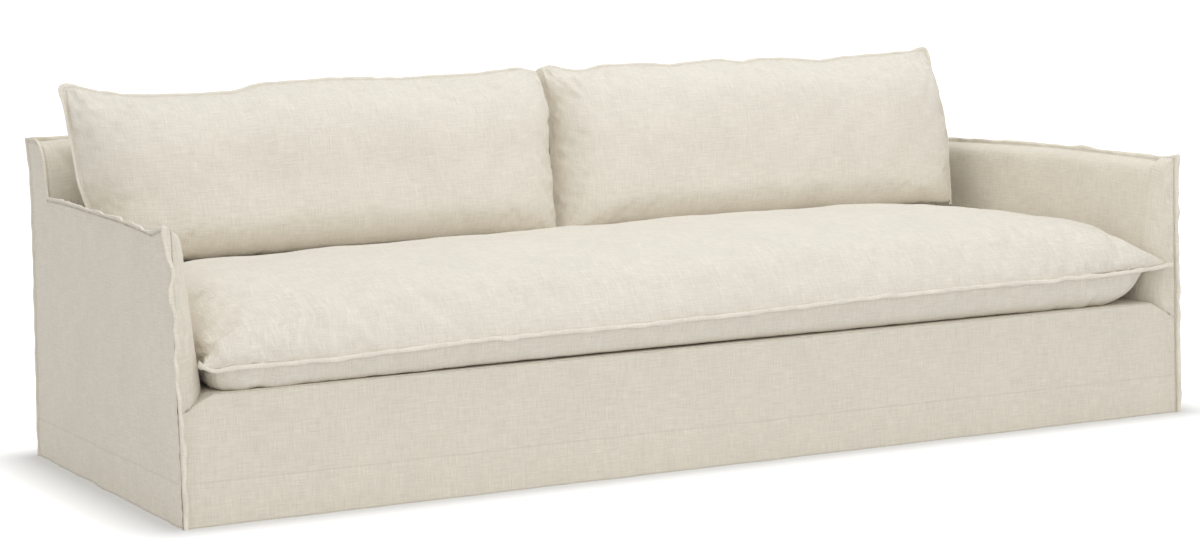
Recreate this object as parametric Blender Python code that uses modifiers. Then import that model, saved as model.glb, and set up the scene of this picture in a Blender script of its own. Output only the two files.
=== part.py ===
"""Fitted linen slipcover of a long sofa, with its seat cushion and two back cushions.

The cover is a hollow of eight cloth panels, open at the bottom. Every panel is a sheet 2 mm thick,
and every outer seam carries a flange: the cloth runs on past the seam as a wavy fin. The three
cushions are filled solids with a flange round them. Units are metres, +Z is up, -Y is the front,
and the origin is on the floor under the middle of the cover.
"""

import math

import bmesh
import bpy
import numpy as np

# Driving sizes
SIDE_X = 1.2665  # outer face of the side panels
CLOTH = 0.002
FLANGE = 0.012
GAP = 0.0004
FRONT_Y = -0.555  # front seams
DECK_Z = 0.275  # top of the seat deck
HEM_STITCH_Z = 0.092
HEM_STEP = 0.0012  # the turned-up hem stands this proud of the skirt
BACK_SEAM_Z = 0.758
BACK_TIP_Z = 0.770
ARM_BOTTOM_Z = 0.272
JOIN_X = SIDE_X - CLOTH - 0.0018  # edge of each panel that is sewn to a side panel
FLANGE_WAVE = 0.0035
TOE_IN = 0.026  # the right side is drawn in this much towards the back
END_RECESS = {-1: 0.0, 1: 0.044}  # how far the inside back falls away behind each cushion's end

# Height of the flange tip along the arm tops, from the front corner to the back
ARM_TOP = (
    # y, left z, right z
    (-0.567, 0.628, 0.638),
    (-0.545, 0.627, 0.631),
    (-0.495, 0.620, 0.626),
    (-0.436, 0.608, 0.629),
    (-0.367, 0.613, 0.632),
    (-0.224, 0.622, 0.637),
    (-0.073, 0.627, 0.642),
    (0.084, 0.632, 0.644),
    (0.249, 0.637, 0.645),
    (0.370, 0.637, 0.645),
)

# Rear edge of the side panels: the cloth falls outwards below the arms
REAR_TIP = (
    # z, y
    (0.000, 0.571),
    (0.136, 0.559),
    (0.381, 0.531),
    (0.621, 0.511),
    (0.700, 0.514),
    (0.758, 0.530),
    (0.770, 0.541),
)

# Section through the inside back, from the rear top seam forward and down to the deck
BACK_PROFILE = (
    # y, z
    (0.5150, 0.7580),
    (0.4750, 0.7595),
    (0.4380, 0.7580),
    (0.4090, 0.7460),
    (0.3930, 0.7250),
    (0.3818, 0.7000),
    (0.3685, 0.6300),
    (0.3552, 0.5600),
    (0.3419, 0.4900),
    (0.3286, 0.4200),
    (0.3153, 0.3500),
    (0.3005, 0.2720),
)

# Height of the seat cushion's flange along the front
SEAT_SEAM = (
    # x, z
    (-1.220, 0.342),
    (-1.155, 0.327),
    (-1.000, 0.335),
    (-0.550, 0.345),
    (0.000, 0.347),
    (0.740, 0.343),
    (1.030, 0.350),
    (1.180, 0.361),
    (1.242, 0.369),
)
SEAT_FRONT_Y = -0.560
SEAT_REAR_Y = 0.296
SEAT_HALF = 1.186
SEAT_EAR = {-1: 0.024, 1: 0.046}  # how far the front corners stand out past the ends
SEAT_CROWN = 0.165
SEAT_FULLNESS = {-1: 8.0, 1: 6.6}  # how far out the crown stays high on each side
SEAT_BELLY = 0.100
SEAT_CROWN_Y = -0.100
SHELF_Z = 0.485  # the seat's top where the back cushions press it flat
SHELF_Y = (0.000, 0.090)

# Back cushions: the mid-plane leans back, and each tip line is as uneven as worn linen
LEAN = 0.35
LEAN_FOOT_Y = 0.187
LEAN_FOOT_Z = 0.480
PILLOW_BOTTOM_Z = 0.452
PILLOW_SWELL = {1: 0.112, -1: 0.095}  # in front of the mid-plane, behind it
PILLOWS = {
    "back_cushion_left": {
        "left": ((0.45, -1.203), (0.60, -1.212), (0.66, -1.226), (0.79, -1.231), (0.89, -1.228)),
        "right": ((0.45, -0.050), (0.63, -0.032), (0.78, -0.014), (0.89, -0.022)),
        "top": (
            # x, z
            (-1.228, 0.880),
            (-1.177, 0.887),
            (-1.073, 0.863),
            (-0.900, 0.870),
            (-0.815, 0.867),
            (-0.765, 0.883),
            (-0.570, 0.887),
            (-0.390, 0.880),
            (-0.200, 0.882),
            (-0.066, 0.891),
            (-0.022, 0.886),
        ),
    },
    "back_cushion_right": {
        "left": ((0.45, -0.046), (0.63, -0.028), (0.78, -0.010), (0.89, -0.018)),
        "right": ((0.45, 1.127), (0.65, 1.164), (0.73, 1.169), (0.82, 1.164), (0.89, 1.152)),
        "top": (
            # x, z
            (-0.018, 0.880),
            (0.043, 0.884),
            (0.110, 0.872),
            (0.180, 0.869),
            (0.385, 0.888),
            (0.620, 0.892),
            (0.925, 0.883),
            (1.090, 0.890),
            (1.152, 0.888),
        ),
    },
}
PRESS = 0.02  # what is left of a swelling that meets a neighbour

LINEN = (0.64, 0.59, 0.50, 1.0)
CUSHION_LINEN = (0.68, 0.64, 0.55, 1.0)
TAU = 2 * math.pi


def table(rows, value, key=0, result=1):
    """Reads a table by one of its columns, straight between its rows."""
    keys = [row[key] for row in rows]
    results = [row[result] for row in rows]
    if keys[0] > keys[-1]:
        keys.reverse()
        results.reverse()
    return float(np.interp(value, keys, results))


def smooth(low, high, value):
    t = min(max((value - low) / (high - low), 0.0), 1.0)
    return t * t * (3 - 2 * t)


def wave(along, phase):
    """An uneven wavering from -1 to 1: three sines whose lengths share no beat."""
    return (
        0.5 * math.sin(TAU * along / 0.34 + phase)
        + 0.3 * math.sin(TAU * along / 0.19 + 2.1 * phase)
        + 0.2 * math.sin(TAU * along / 0.12 + 3.7 * phase)
    )


def steps(start, end, count):
    return [start + (end - start) * i / count for i in range(count + 1)]


def mirrored(half):
    """The values of a half, from its middle out, on both sides of zero."""
    return [-value for value in reversed(half) if value] + list(half)


# Curves that several panels share


def arm_tip(side, y):
    return table(ARM_TOP, y, result=1 if side < 0 else 2)


def arm_seam(side, y):
    return arm_tip(side, y) - FLANGE


def back_face(z):
    """Where the front of the inside back is at a height."""
    return table(BACK_PROFILE, z, key=1, result=0)


def recess(x):
    """How far the inside back falls away near its ends."""
    return END_RECESS[-1 if x < 0 else 1] * smooth(1.09, 1.15, abs(x))


def settled(x, y, z):
    """The cover as it hangs: its right side comes in a little towards the back."""
    return x - TOE_IN * smooth(-0.15, 0.45, y) * max(x, 0.0) / SIDE_X, y, z


def arm_depth(drop):
    """How thick the arm is at a drop below its top seam: a knife edge that soon reaches a slow taper."""
    return 0.030 * (1 - math.exp(-drop / 0.010)) + 0.11 * drop


def turn_radius(drop):
    """How far back the front of the arm has turned into its inside."""
    return 0.030 + 0.06 * drop


def skirt_top(x):
    """The skirt's upper edge: level under the seat, falling away under each arm."""
    return 0.275 - 0.040 * max(0.0, abs(x) - 1.19) / (JOIN_X - 1.19)


# Making objects


def linen(name, colour):
    material = bpy.data.materials.new(name + " linen")
    material.use_nodes = True
    shader = material.node_tree.nodes["Principled BSDF"]
    shader.inputs["Base Color"].default_value = colour
    shader.inputs["Roughness"].default_value = 0.9
    shader.inputs["Metallic"].default_value = 0.0
    material.diffuse_color = colour
    return material


def object_of(bm, name, colour):
    mesh = bpy.data.meshes.new(name)
    bm.to_mesh(mesh)
    bm.free()
    mesh.materials.append(linen(name, colour))
    mesh.shade_smooth()
    obj = bpy.data.objects.new(name, mesh)
    bpy.data.collections["sofa_slipcover"].objects.link(obj)
    return obj


def grid(columns, rows):
    """A flat grid, and each point's place in it as (column, row)."""
    bm = bmesh.new()
    bmesh.ops.create_grid(bm, x_segments=columns - 1, y_segments=rows - 1, size=1.0)

    def place_of(point):
        return (
            round((point.x + 1) / 2 * (columns - 1), 1),
            round((point.y + 1) / 2 * (rows - 1), 1),
        )

    return bm, place_of


def sheet(name, across, up, place, keep=None, flip=False):
    """A panel: a grid whose points go where place(across, up) says, thickened inwards."""
    bm, place_of = grid(len(across), len(up))
    if keep:
        cut = [f for f in bm.faces if not keep(*place_of(f.calc_center_median()))]
        bmesh.ops.delete(bm, geom=cut, context="FACES")
    for vertex in bm.verts:
        column, row = place_of(vertex.co)
        vertex.co = settled(*place(across[int(column)], up[int(row)]))
    if flip:
        bmesh.ops.reverse_faces(bm, faces=bm.faces)
    obj = object_of(bm, name, LINEN)
    wall = obj.modifiers.new("cloth", "SOLIDIFY")
    wall.thickness = CLOTH
    wall.offset = -1.0
    return obj


def cushion(name, across, up, place):
    """A filled cushion: an outer and an inner face on one grid, joined round the flange's tip."""
    bm, place_of = grid(len(across), len(up))
    made = bmesh.ops.extrude_face_region(bm, geom=bm.faces[:], use_keep_orig=True)
    outer = {item for item in made["geom"] if isinstance(item, bmesh.types.BMVert)}
    for vertex in bm.verts:
        column, row = place_of(vertex.co)
        face = 1 if vertex in outer else -1
        vertex.co = settled(*place(across[int(column)], up[int(row)], face))
    bmesh.ops.recalc_face_normals(bm, faces=bm.faces)
    return object_of(bm, name, CUSHION_LINEN)


# Side panels: the outside arm and the end of the back, in one L of cloth

# Columns: 0 front tip, 1 front seam, 2 tip and 3 seam before the back, 4 rear seam, 5 rear tip
SIDE_COLUMNS = [0.0] + steps(1.0, 2.0, 15) + [3.0, 3.5, 4.0, 5.0]
# Rows: 0 hem, 1 arm seam, 2 arm tip, 3 back seam, 4 back tip
SIDE_ROWS = [0.0, 0.15, 0.32, 0.50, 0.68, 0.85, 1.0, 2.0, 2.35, 2.70, 3.0, 4.0]


def side_panel(side):
    phase = 1.3 if side < 0 else 4.1

    def place(column, row):
        level = np.interp(row, [0, 1, 2, 3, 4], [0, 0.618, 0.637, BACK_SEAM_Z, BACK_TIP_Z])
        rear_tip = table(REAR_TIP, level)
        strip_seam = back_face(min(max(level, 0.640), 0.745)) + END_RECESS[side]
        front_tip = FRONT_Y - FLANGE + 0.004 * wave(level, phase)
        stations = [front_tip, FRONT_Y, strip_seam - 0.010, strip_seam, rear_tip - FLANGE, rear_tip]
        y = float(np.interp(column, range(6), stations))
        ripple = 0.002 * wave(y, phase + 1.0)
        tip = arm_tip(side, min(y, 0.37)) + ripple
        heights = [0.0, arm_seam(side, min(y, 0.37)), tip, BACK_SEAM_Z, BACK_TIP_Z]
        z = float(np.interp(row, range(5), heights))
        arm_fin = (row - 1) if row <= 2 and column <= 2 else 0.0
        strip_fin = (3 - column) * (1 - smooth(0.70, 0.74, level)) if row > 2 else 0.0
        fins = max(arm_fin, 1 - column, column - 4, row - 3, strip_fin, 0.0)
        lean = FLANGE_WAVE * max(wave(y + 1.7 * z, phase), -0.1) * min(fins, 1.0)
        swell = 0.002 * math.sin(math.pi * min(z / 0.6, 1.0)) * math.sin(math.pi * (y + 0.555) / 1.1)
        return side * (SIDE_X + lean + max(swell, 0.0)), y, z

    corner_column = SIDE_COLUMNS.index(2.0)
    corner_row = SIDE_ROWS.index(2.0)
    sheet(
        "side_left" if side < 0 else "side_right",
        SIDE_COLUMNS,
        SIDE_ROWS,
        place,
        keep=lambda column, row: column > corner_column or row < corner_row,
        flip=side < 0,
    )


# Inside arms: from the back forward, then round the front of the arm to its outer seam

ARM_ALONG = steps(1.0, 0.0, 14)  # 1 at the back, 0 where the turn starts
ARM_TURN = (70, 50, 30, 18, 0)  # degrees left to turn
ARM_ROWS = (0.0, 0.012, 0.035, 0.08, 0.18, 0.38, 0.60, 0.80, 1.0)


def turn_bottom(angle):
    """Lower edge of the inside arm as it turns the front, down to the skirt's falling edge."""
    if angle <= 18:
        x = JOIN_X - arm_depth(0.34) * math.sin(math.radians(angle))
        return skirt_top(x) + 0.001
    return 0.2405 + (ARM_BOTTOM_Z - 0.2405) * (max(angle - 30, 0) / 60) ** 1.5


def arm_plan(drop, angle):
    """Across and along distance from the arm's front outer corner, at an angle of the turn."""
    turned = math.radians(angle)
    return arm_depth(drop) * math.sin(turned), turn_radius(drop) * (1 - math.cos(turned))


def inside_arm(side):
    def place(column, down):
        kind, value = column
        if kind == "along":
            seam = arm_seam(side, FRONT_Y + (0.36 - FRONT_Y) * value)
            drop = down * (seam - ARM_BOTTOM_Z)
            depth, start = arm_plan(drop, 90)
            end = back_face(min(seam - drop, 0.64)) + recess(side * (JOIN_X - depth)) - GAP - 0.0004
            y = FRONT_Y + start + (end - FRONT_Y - start) * value
            return side * (JOIN_X - depth), y, arm_seam(side, y) - drop
        seam = arm_seam(side, FRONT_Y)
        drop = down * (seam - turn_bottom(value))
        depth, along = arm_plan(drop, value)
        y = FRONT_Y + along
        return side * (JOIN_X - depth), y, seam - drop

    columns = [("along", value) for value in ARM_ALONG] + [("turn", angle) for angle in ARM_TURN]
    name = "arm_left" if side < 0 else "arm_right"
    sheet(name, columns, ARM_ROWS, place, flip=side > 0)


# Back


def inside_back():
    """Runs from the rear top seam over the top and down to the deck, narrowing between the arms."""

    def place(across, row):
        y, z = BACK_PROFILE[row]
        side = -1 if across < 0 else 1
        drop = arm_seam(side, 0.36) - z
        edge = JOIN_X if drop < 0 else JOIN_X - arm_depth(drop) + 0.005
        sag = 0.0015 * wave(across * edge, 2.6) if 0.70 < z < 0.758 and abs(across) < 0.97 else 0.0
        fall = recess(across * edge) * (1 - smooth(0.42, 0.50, y))
        return across * edge, y + sag + fall, z

    columns = mirrored([0.0, 0.12, 0.25, 0.38, 0.5, 0.62, 0.74, 0.84, 0.92, 0.97, 1.0])
    sheet("back_inner", columns, list(range(len(BACK_PROFILE))), place, flip=True)


def outside_back():
    """Hangs from the rear top seam to the floor, with the flange standing up above the seam."""

    def place(across, z):
        fade = 1 - smooth(1.15, JOIN_X, abs(across))
        billow = 0.004 * wave(across, 0.7) * (1 - smooth(0.0, 0.7, z)) * fade
        fin = 0.003 * wave(across, 5.2) * fade if z == BACK_TIP_Z else 0.0
        y = table(REAR_TIP, z) - FLANGE + billow + fin
        return across, y, z

    columns = mirrored(steps(0.0, 1.2, 10) + [JOIN_X])
    rows = [0.0, HEM_STITCH_Z, 0.20, 0.34, 0.48, 0.60, 0.68, BACK_SEAM_Z, BACK_TIP_Z]
    sheet("back_outer", columns, rows, place, flip=True)


# Seat deck and front skirt


def deck():
    """A level panel between the arms, its front corners cut to the turn of each arm."""

    def edge(side, y):
        drop = arm_seam(side, y) - DECK_Z
        left = min(max(1 - (y - FRONT_Y) / turn_radius(drop), 0.0), 1.0)
        return JOIN_X - arm_depth(drop) * math.sin(math.acos(left)) - 0.0012

    def place(across, y):
        return across * edge(-1 if across < 0 else 1, y), y, DECK_Z

    corner = [FRONT_Y + arm_plan(0.34, angle)[1] for angle in (30, 50, 70, 90)]
    front = FRONT_Y + CLOTH + GAP
    rear = back_face(DECK_Z) - GAP - 0.0004
    rows = [front] + corner + steps(-0.40, rear, 5)
    columns = mirrored([0.0, 0.25, 0.5, 0.75, 1.0])
    sheet("deck", columns, rows, place)


def front_skirt():
    """Falls from the deck to the floor. Below the stitch line the hem is turned up, so it stands proud."""

    def place(x, up):
        z = up * skirt_top(x)
        fade = (1 - smooth(1.14, 1.24, abs(x))) * (1 - smooth(0.10, 0.25, z))
        y = FRONT_Y + 0.003 * wave(x, 3.3) * fade
        if z < HEM_STITCH_Z - 0.001:
            y -= HEM_STEP
        return x, y, z

    stitch = HEM_STITCH_Z / DECK_Z
    columns = mirrored(steps(0.0, 1.19, 12) + [JOIN_X])
    sheet("front_skirt", columns, [0.0, 0.17, stitch - 0.01, stitch + 0.01, 0.55, 0.8, 1.0], place)


# Cushions

SEAT_TIP_U = 1 + FLANGE / SEAT_HALF
SEAT_TIP_V = 1 + 2 * FLANGE / (SEAT_REAR_Y - SEAT_FRONT_Y)


def seat_cushion():
    """One long cushion: a deep crown above the flange, a shallow belly below it, flat on the deck."""
    crown_v = 2 * (SEAT_CROWN_Y - SEAT_FRONT_Y) / (SEAT_REAR_Y - SEAT_FRONT_Y) - 1

    def plan(u, v):
        ear = math.exp(-max(v + 1, 0.0) / 0.03)
        half = SEAT_HALF + SEAT_EAR[-1 if u < 0 else 1] * ear
        waver = 0.002 * wave(u * SEAT_HALF, 1.9) if abs(v) > 1 else 0.0
        y = SEAT_FRONT_Y + (v + 1) / 2 * (SEAT_REAR_Y - SEAT_FRONT_Y)
        return u * half, y + waver

    def crown(u, v):
        across = max(1 - abs(u) ** SEAT_FULLNESS[-1 if u < 0 else 1], 0.0) ** 0.3
        if v < crown_v:
            along = max(1 - ((crown_v - v) / (1 + crown_v)) ** 2.2, 0.0) ** 0.5
        else:
            along = max(1 - ((v - crown_v) / (1 - crown_v)) ** 6, 0.0) ** 0.5
        return SEAT_CROWN * across * along

    def belly(u, v):
        across = max(1 - abs(u) ** 6, 0.0) ** 0.5
        along = max(1 - abs(v) ** 12, 0.0) ** 0.5
        return SEAT_BELLY * across * along

    def place(u, v, face):
        x, y = plan(u, v)
        fin = 0.003 * wave(x + 2 * y, 0.4) if abs(u) > 1 or abs(v) > 1 else 0.0
        z = table(SEAT_SEAM, x) + fin + face * 0.0015
        if face < 0:
            return x, y, max(z - belly(u, v), DECK_Z + GAP)
        z += crown(u, v)
        pressed = smooth(*SHELF_Y, y)
        return x, y, z * (1 - pressed) + min(z, SHELF_Z) * pressed

    across = [0.0, 0.09, 0.18, 0.27, 0.36, 0.45, 0.54, 0.63, 0.72, 0.8, 0.87, 0.93, 0.97, 0.99, 1.0]
    along = [-1.0, -0.985, -0.95, -0.88, -0.78, -0.64, -0.46, -0.26, -0.04, 0.16, 0.34]
    along = [-SEAT_TIP_V] + along + [0.53, 0.7, 0.85, 0.94, 0.985, 1.0, SEAT_TIP_V]
    cushion("seat_cushion", mirrored(across + [SEAT_TIP_U]), along, place)


def back_cushion(name):
    """A knife-edged cushion that leans on the inside back and stands on the seat."""
    edges = PILLOWS[name]
    tip_u = 1 + 2 * FLANGE / 1.18
    tip_w = 1 + 2 * FLANGE / 0.43
    belly_w = -0.15
    normal = np.array([0.0, -1.0, LEAN]) / math.hypot(1.0, LEAN)

    def swell(u, w):
        across = max(1 - abs(u) ** 5, 0.0) ** 0.5
        if w > belly_w:
            up = max(1 - ((w - belly_w) / (1 - belly_w)) ** 2.6, 0.0) ** 0.6
        else:
            up = max(1 - ((belly_w - w) / (1 + belly_w)) ** 6, 0.0) ** 0.5
        return across * up

    def place(u, w, face):
        level = PILLOW_BOTTOM_Z + (w / tip_w + 1) / 2 * (0.885 - PILLOW_BOTTOM_Z)
        left = table(edges["left"], level)
        right = table(edges["right"], level)
        x = left + (u / tip_u + 1) / 2 * (right - left)
        z = PILLOW_BOTTOM_Z + (w / tip_w + 1) / 2 * (table(edges["top"], x) - PILLOW_BOTTOM_Z)
        middle = np.array([x, LEAN_FOOT_Y + LEAN * (z - LEAN_FOOT_Z), z])
        fin = 0.0015
        if abs(u) <= 1 and abs(w) <= 1:
            fin += PILLOW_SWELL[face] * swell(u, w)
        elif w > 1:
            middle[1] += 0.004 * wave(x, 2.2)
        x, y, z = middle + face * fin * normal
        floor = SHELF_Z + 0.0011
        z = floor + (z - floor) * PRESS if z < floor else z
        wall = back_face(0.49) + (z - 0.49) * 0.19 - 0.0015
        y = wall + (y - wall) * PRESS if y > wall else y
        return x, y, z

    across = mirrored([0.0, 0.14, 0.28, 0.42, 0.56, 0.7, 0.82, 0.91, 0.97, 1.0, tip_u])
    up = [-tip_w, -1.0, -0.97, -0.9, -0.75, -0.55, -0.3, 0.0, 0.25, 0.48, 0.68, 0.83, 0.93, 1.0, tip_w]
    cushion(name, across, up, place)


def main():
    for obj in list(bpy.data.objects):
        bpy.data.objects.remove(obj, do_unlink=True)
    home = bpy.data.collections.new("sofa_slipcover")
    bpy.context.scene.collection.children.link(home)
    for side in (-1, 1):
        side_panel(side)
        inside_arm(side)
    inside_back()
    outside_back()
    deck()
    front_skirt()
    seat_cushion()
    for name in PILLOWS:
        back_cushion(name)


main()
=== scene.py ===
"""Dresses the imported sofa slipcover: eight linen panels, the seat cushion and two back cushions.

A panel follows the folds of its solid as a thin sheet. Its outer seams end in a flange: both layers
run on past the seam as one soft, wavering lip. The cushions are blown up by a short cloth
simulation that holds their seams, and get their flanges afterwards. Lengths are metres, +Z is up,
-Y is the front and the floor is z = 0.
"""

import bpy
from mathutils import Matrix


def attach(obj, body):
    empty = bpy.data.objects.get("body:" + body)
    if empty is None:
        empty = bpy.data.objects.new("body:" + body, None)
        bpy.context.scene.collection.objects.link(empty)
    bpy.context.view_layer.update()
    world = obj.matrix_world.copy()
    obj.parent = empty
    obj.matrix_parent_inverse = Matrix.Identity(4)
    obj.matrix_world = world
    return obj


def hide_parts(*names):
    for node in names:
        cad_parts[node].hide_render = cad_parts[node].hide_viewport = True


bl_info = {
    "name": "Sofa slipcover",
    "version": (1, 0, 0),
    "blender": (4, 5, 0),
    "location": "3D View > Sidebar > Slipcover",
    "description": "Makes the linen panels, the cushions and the studio of a slipcovered sofa",
    "category": "Object",
}

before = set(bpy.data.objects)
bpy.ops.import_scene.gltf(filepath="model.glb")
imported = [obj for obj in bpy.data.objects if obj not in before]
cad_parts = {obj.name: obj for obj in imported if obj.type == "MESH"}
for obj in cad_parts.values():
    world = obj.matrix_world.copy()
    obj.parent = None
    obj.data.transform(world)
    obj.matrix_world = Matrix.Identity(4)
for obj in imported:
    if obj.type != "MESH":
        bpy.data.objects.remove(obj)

import collections
import math

import bpy
import numpy as np
from mathutils import Matrix, Vector

TAU = 2 * math.pi
HAND = {-1: "left", 1: "right"}  # the signs of the two sides, as in x

# Driving sizes, the same as the solids'
SIDE_X = 1.2665  # outer face of a side panel
CLOTH = 0.002
FLANGE = 0.012  # width of every flange
GAP = 0.0004  # between panels that lie on each other
FRONT_Y = -0.555
DECK_Z = 0.275
HEM_STITCH_Z = 0.092
HEM_STEP = 0.0012
HEM_GROOVE = 0.0007  # depth that the hem's stitching draws in
BACK_SEAM_Z = 0.758  # the rear seam along the top of the back
ARM_BOTTOM_Z = 0.272  # lower edge of an inside arm
ARM_KNIFE = (0.030, 0.010)  # thickness that an arm gains below its edge, and how soon
ARM_SLOPE = 0.11  # and what it gains further down, as a slope
SKIRT_FALL, SKIRT_FALL_X = 0.040, 1.19  # how far the skirt's top falls under an arm, from where
ARM_END_Y = 0.37  # where an arm's top seam meets the back's end strip
STRIP_FOOT_Z, STRIP_TOP_Z = 0.640, 0.750  # the strip's front edge between the arm and its top
JOIN_X = SIDE_X - CLOTH - 0.0018  # where the inner panels meet a side panel
LIP_X = SIDE_X - 0.0021  # middle of the flanges that join a side panel to its neighbours
TOE_IN = 0.026  # how far the right side comes in at the rear
END_RECESS = {-1: 0.0, 1: 0.044}  # how far each end of the inside back lies behind its middle

ARM_TOP = (
    # y, left z, right z
    (-0.567, 0.628, 0.638),
    (-0.545, 0.627, 0.631),
    (-0.495, 0.620, 0.626),
    (-0.436, 0.608, 0.629),
    (-0.367, 0.613, 0.632),
    (-0.224, 0.622, 0.637),
    (-0.073, 0.627, 0.642),
    (0.084, 0.632, 0.644),
    (0.249, 0.637, 0.645),
    (0.370, 0.637, 0.645),
)
REAR_TIP = (
    # z, y
    (0.000, 0.571),
    (0.136, 0.559),
    (0.381, 0.531),
    (0.621, 0.511),
    (0.700, 0.514),
    (0.758, 0.530),
    (0.770, 0.541),
)
BACK_PROFILE = (
    # y, z
    (0.5150, 0.7580),
    (0.4750, 0.7595),
    (0.4380, 0.7580),
    (0.4090, 0.7460),
    (0.3930, 0.7250),
    (0.3818, 0.7000),
    (0.3685, 0.6300),
    (0.3552, 0.5600),
    (0.3419, 0.4900),
    (0.3286, 0.4200),
    (0.3153, 0.3500),
    (0.3005, 0.2720),
)

# Seat cushion
SEAT_SEAM = (
    # x, z of the flange, z of the crown
    (-1.226, 0.345, 0.494),
    (-1.213, 0.331, 0.492),
    (-1.200, 0.324, 0.490),
    (-1.187, 0.321, 0.488),
    (-1.165, 0.323, 0.488),
    (-1.140, 0.325, 0.488),
    (-1.050, 0.324, 0.489),
    (-0.940, 0.324, 0.490),
    (-0.760, 0.330, 0.493),
    (-0.580, 0.336, 0.496),
    (-0.400, 0.336, 0.499),
    (-0.220, 0.337, 0.502),
    (-0.020, 0.339, 0.505),
    (0.200, 0.344, 0.506),
    (0.350, 0.350, 0.507),
    (0.560, 0.352, 0.507),
    (0.770, 0.353, 0.503),
    (0.900, 0.353, 0.495),
    (0.990, 0.354, 0.482),
    (1.110, 0.356, 0.472),
    (1.180, 0.359, 0.469),
    (1.242, 0.363, 0.465),
)
SEAT_FRONT_Y, SEAT_REAR_Y = -0.560, 0.296
SEAT_CROWN_Y = -0.100
SEAT_HALF = 1.186  # half its length behind the front corners
SEAT_EAR = {-1: 0.024, 1: 0.046}  # how far each front corner stands out further
SEAT_FULLNESS = {-1: 22.0, 1: 16.0}  # the arch over its top: its power towards each end
SEAT_ROUND = {-1: 0.30, 1: 0.22}  # and its root
SEAT_UNDER = {-1: 18.0, 1: 11.0}  # the power of the arch below the flange
SEAT_CROWN = 0.165  # about its height over the flange
SEAT_BELLY = 0.100  # depth below the flange, where the deck doesn't stop it
SHELF_Z = 0.485  # where the back cushions press it flat
SHELF_Y = (0.000, 0.090)

# Back cushions: knife edges that lean back
LEAN = 0.35
LEAN_FOOT_Y, LEAN_FOOT_Z = 0.187, 0.480
PILLOW_BOTTOM_Z, PILLOW_TOP_Z = 0.452, 0.885
PILLOW_HALF, PILLOW_RISE = 0.59, 0.22  # half its length and half its height along the lean
PILLOW_SWELL = {1: 0.112, -1: 0.095}  # to the front and to the rear
PRESS = 0.02  # share of its overlap that is left where it presses on something

# Seeds of the unevenness, and grid spacings as multiples of the settings'. A panel that is hardly
# seen has a coarser grid.
SEEDS = {
    "side": {-1: 11, 1: 57}, "arm": {-1: 101, 1: 131}, "inside back": 201, "outside back": 301,
    "deck": 401, "skirt": 501, "seat": 601,
}
COARSE = {
    "side": {-1: 1.0, 1: 1.6}, "arm": {-1: 1.6, 1: 1.15}, "outside back": 2.4, "skirt": 1.05,
    "seat": 1.1, "back cushion": 1.2,
}

# Soft creases: a trough (or, where depth is negative, a ridge) that fades at both ends. A row
# has the place of one end, the place of the other, width, depth and sideways bow.
SIDE_CREASES = (
    # y, z
    (-0.520, 0.600, -0.470, 0.470, 0.014, 0.0024, 0.010),
    (-0.490, 0.598, -0.430, 0.520, 0.012, 0.0018, -0.006),
    (-0.540, 0.590, -0.520, 0.430, 0.010, 0.0022, 0.004),
    (-0.532, 0.600, -0.510, 0.530, 0.007, 0.0018, 0.003),
    (-0.300, 0.560, -0.240, 0.260, 0.045, 0.0014, 0.020),
    (-0.050, 0.600, -0.020, 0.200, 0.060, 0.0014, -0.015),
    (0.220, 0.560, 0.250, 0.150, 0.060, 0.0018, 0.020),
    (0.420, 0.640, 0.330, 0.460, 0.030, 0.0014, 0.012),
    (0.440, 0.560, 0.380, 0.300, 0.035, 0.0012, -0.010),
    (-0.545, 0.330, -0.440, 0.250, 0.022, 0.0010, 0.006),
    (-0.545, 0.180, -0.430, 0.120, 0.025, 0.0011, -0.006),
    (-0.350, 0.080, -0.100, 0.060, 0.020, 0.0008, 0.006),
)
ARM_CREASES = (
    # way from the front seam, z
    (-0.035, 0.590, -0.060, 0.400, 0.018, 0.0022, 0.006),
    (-0.085, 0.600, -0.110, 0.420, 0.022, 0.0018, -0.006),
    (-0.050, 0.420, -0.085, 0.280, 0.016, 0.0016, 0.005),
    (-0.160, 0.560, -0.300, 0.430, 0.030, 0.0016, 0.012),
    (-0.420, 0.600, -0.540, 0.470, 0.035, 0.0014, -0.012),
    (-0.700, 0.600, -0.620, 0.480, 0.035, 0.0014, 0.010),
)
BACK_CREASES = (
    # x, way down from the rear seam
    (-1.250, 0.075, -1.150, 0.190, 0.016, 0.0060, 0.008),
    (-1.235, 0.130, -1.130, 0.240, 0.018, 0.0056, -0.006),
    (-1.180, 0.080, -1.130, 0.180, 0.012, -0.0016, 0.004),
    (-1.255, 0.200, -1.180, 0.270, 0.014, 0.0024, 0.004),
    (1.250, 0.080, 1.150, 0.200, 0.016, 0.0024, 0.008),
)
SKIRT_CREASES = (
    # x, z
    (-1.255, 0.225, -1.130, 0.160, 0.016, 0.0022, 0.008),
    (-1.200, 0.262, -1.110, 0.225, 0.013, 0.0020, -0.004),
    (-1.240, 0.150, -1.180, 0.060, 0.022, 0.0012, 0.006),
    (-0.700, 0.250, -0.640, 0.110, 0.060, 0.0012, 0.015),
    (-0.150, 0.260, -0.120, 0.100, 0.070, 0.0012, -0.015),
    (0.420, 0.240, 0.480, 0.100, 0.060, 0.0011, 0.012),
    (0.930, 0.250, 0.960, 0.110, 0.050, 0.0012, -0.010),
    (1.240, 0.225, 1.120, 0.190, 0.016, 0.0022, 0.008),
    (1.250, 0.200, 1.180, 0.120, 0.018, 0.0018, 0.006),
    (1.180, 0.262, 1.090, 0.240, 0.012, 0.0018, 0.004),
)
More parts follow.
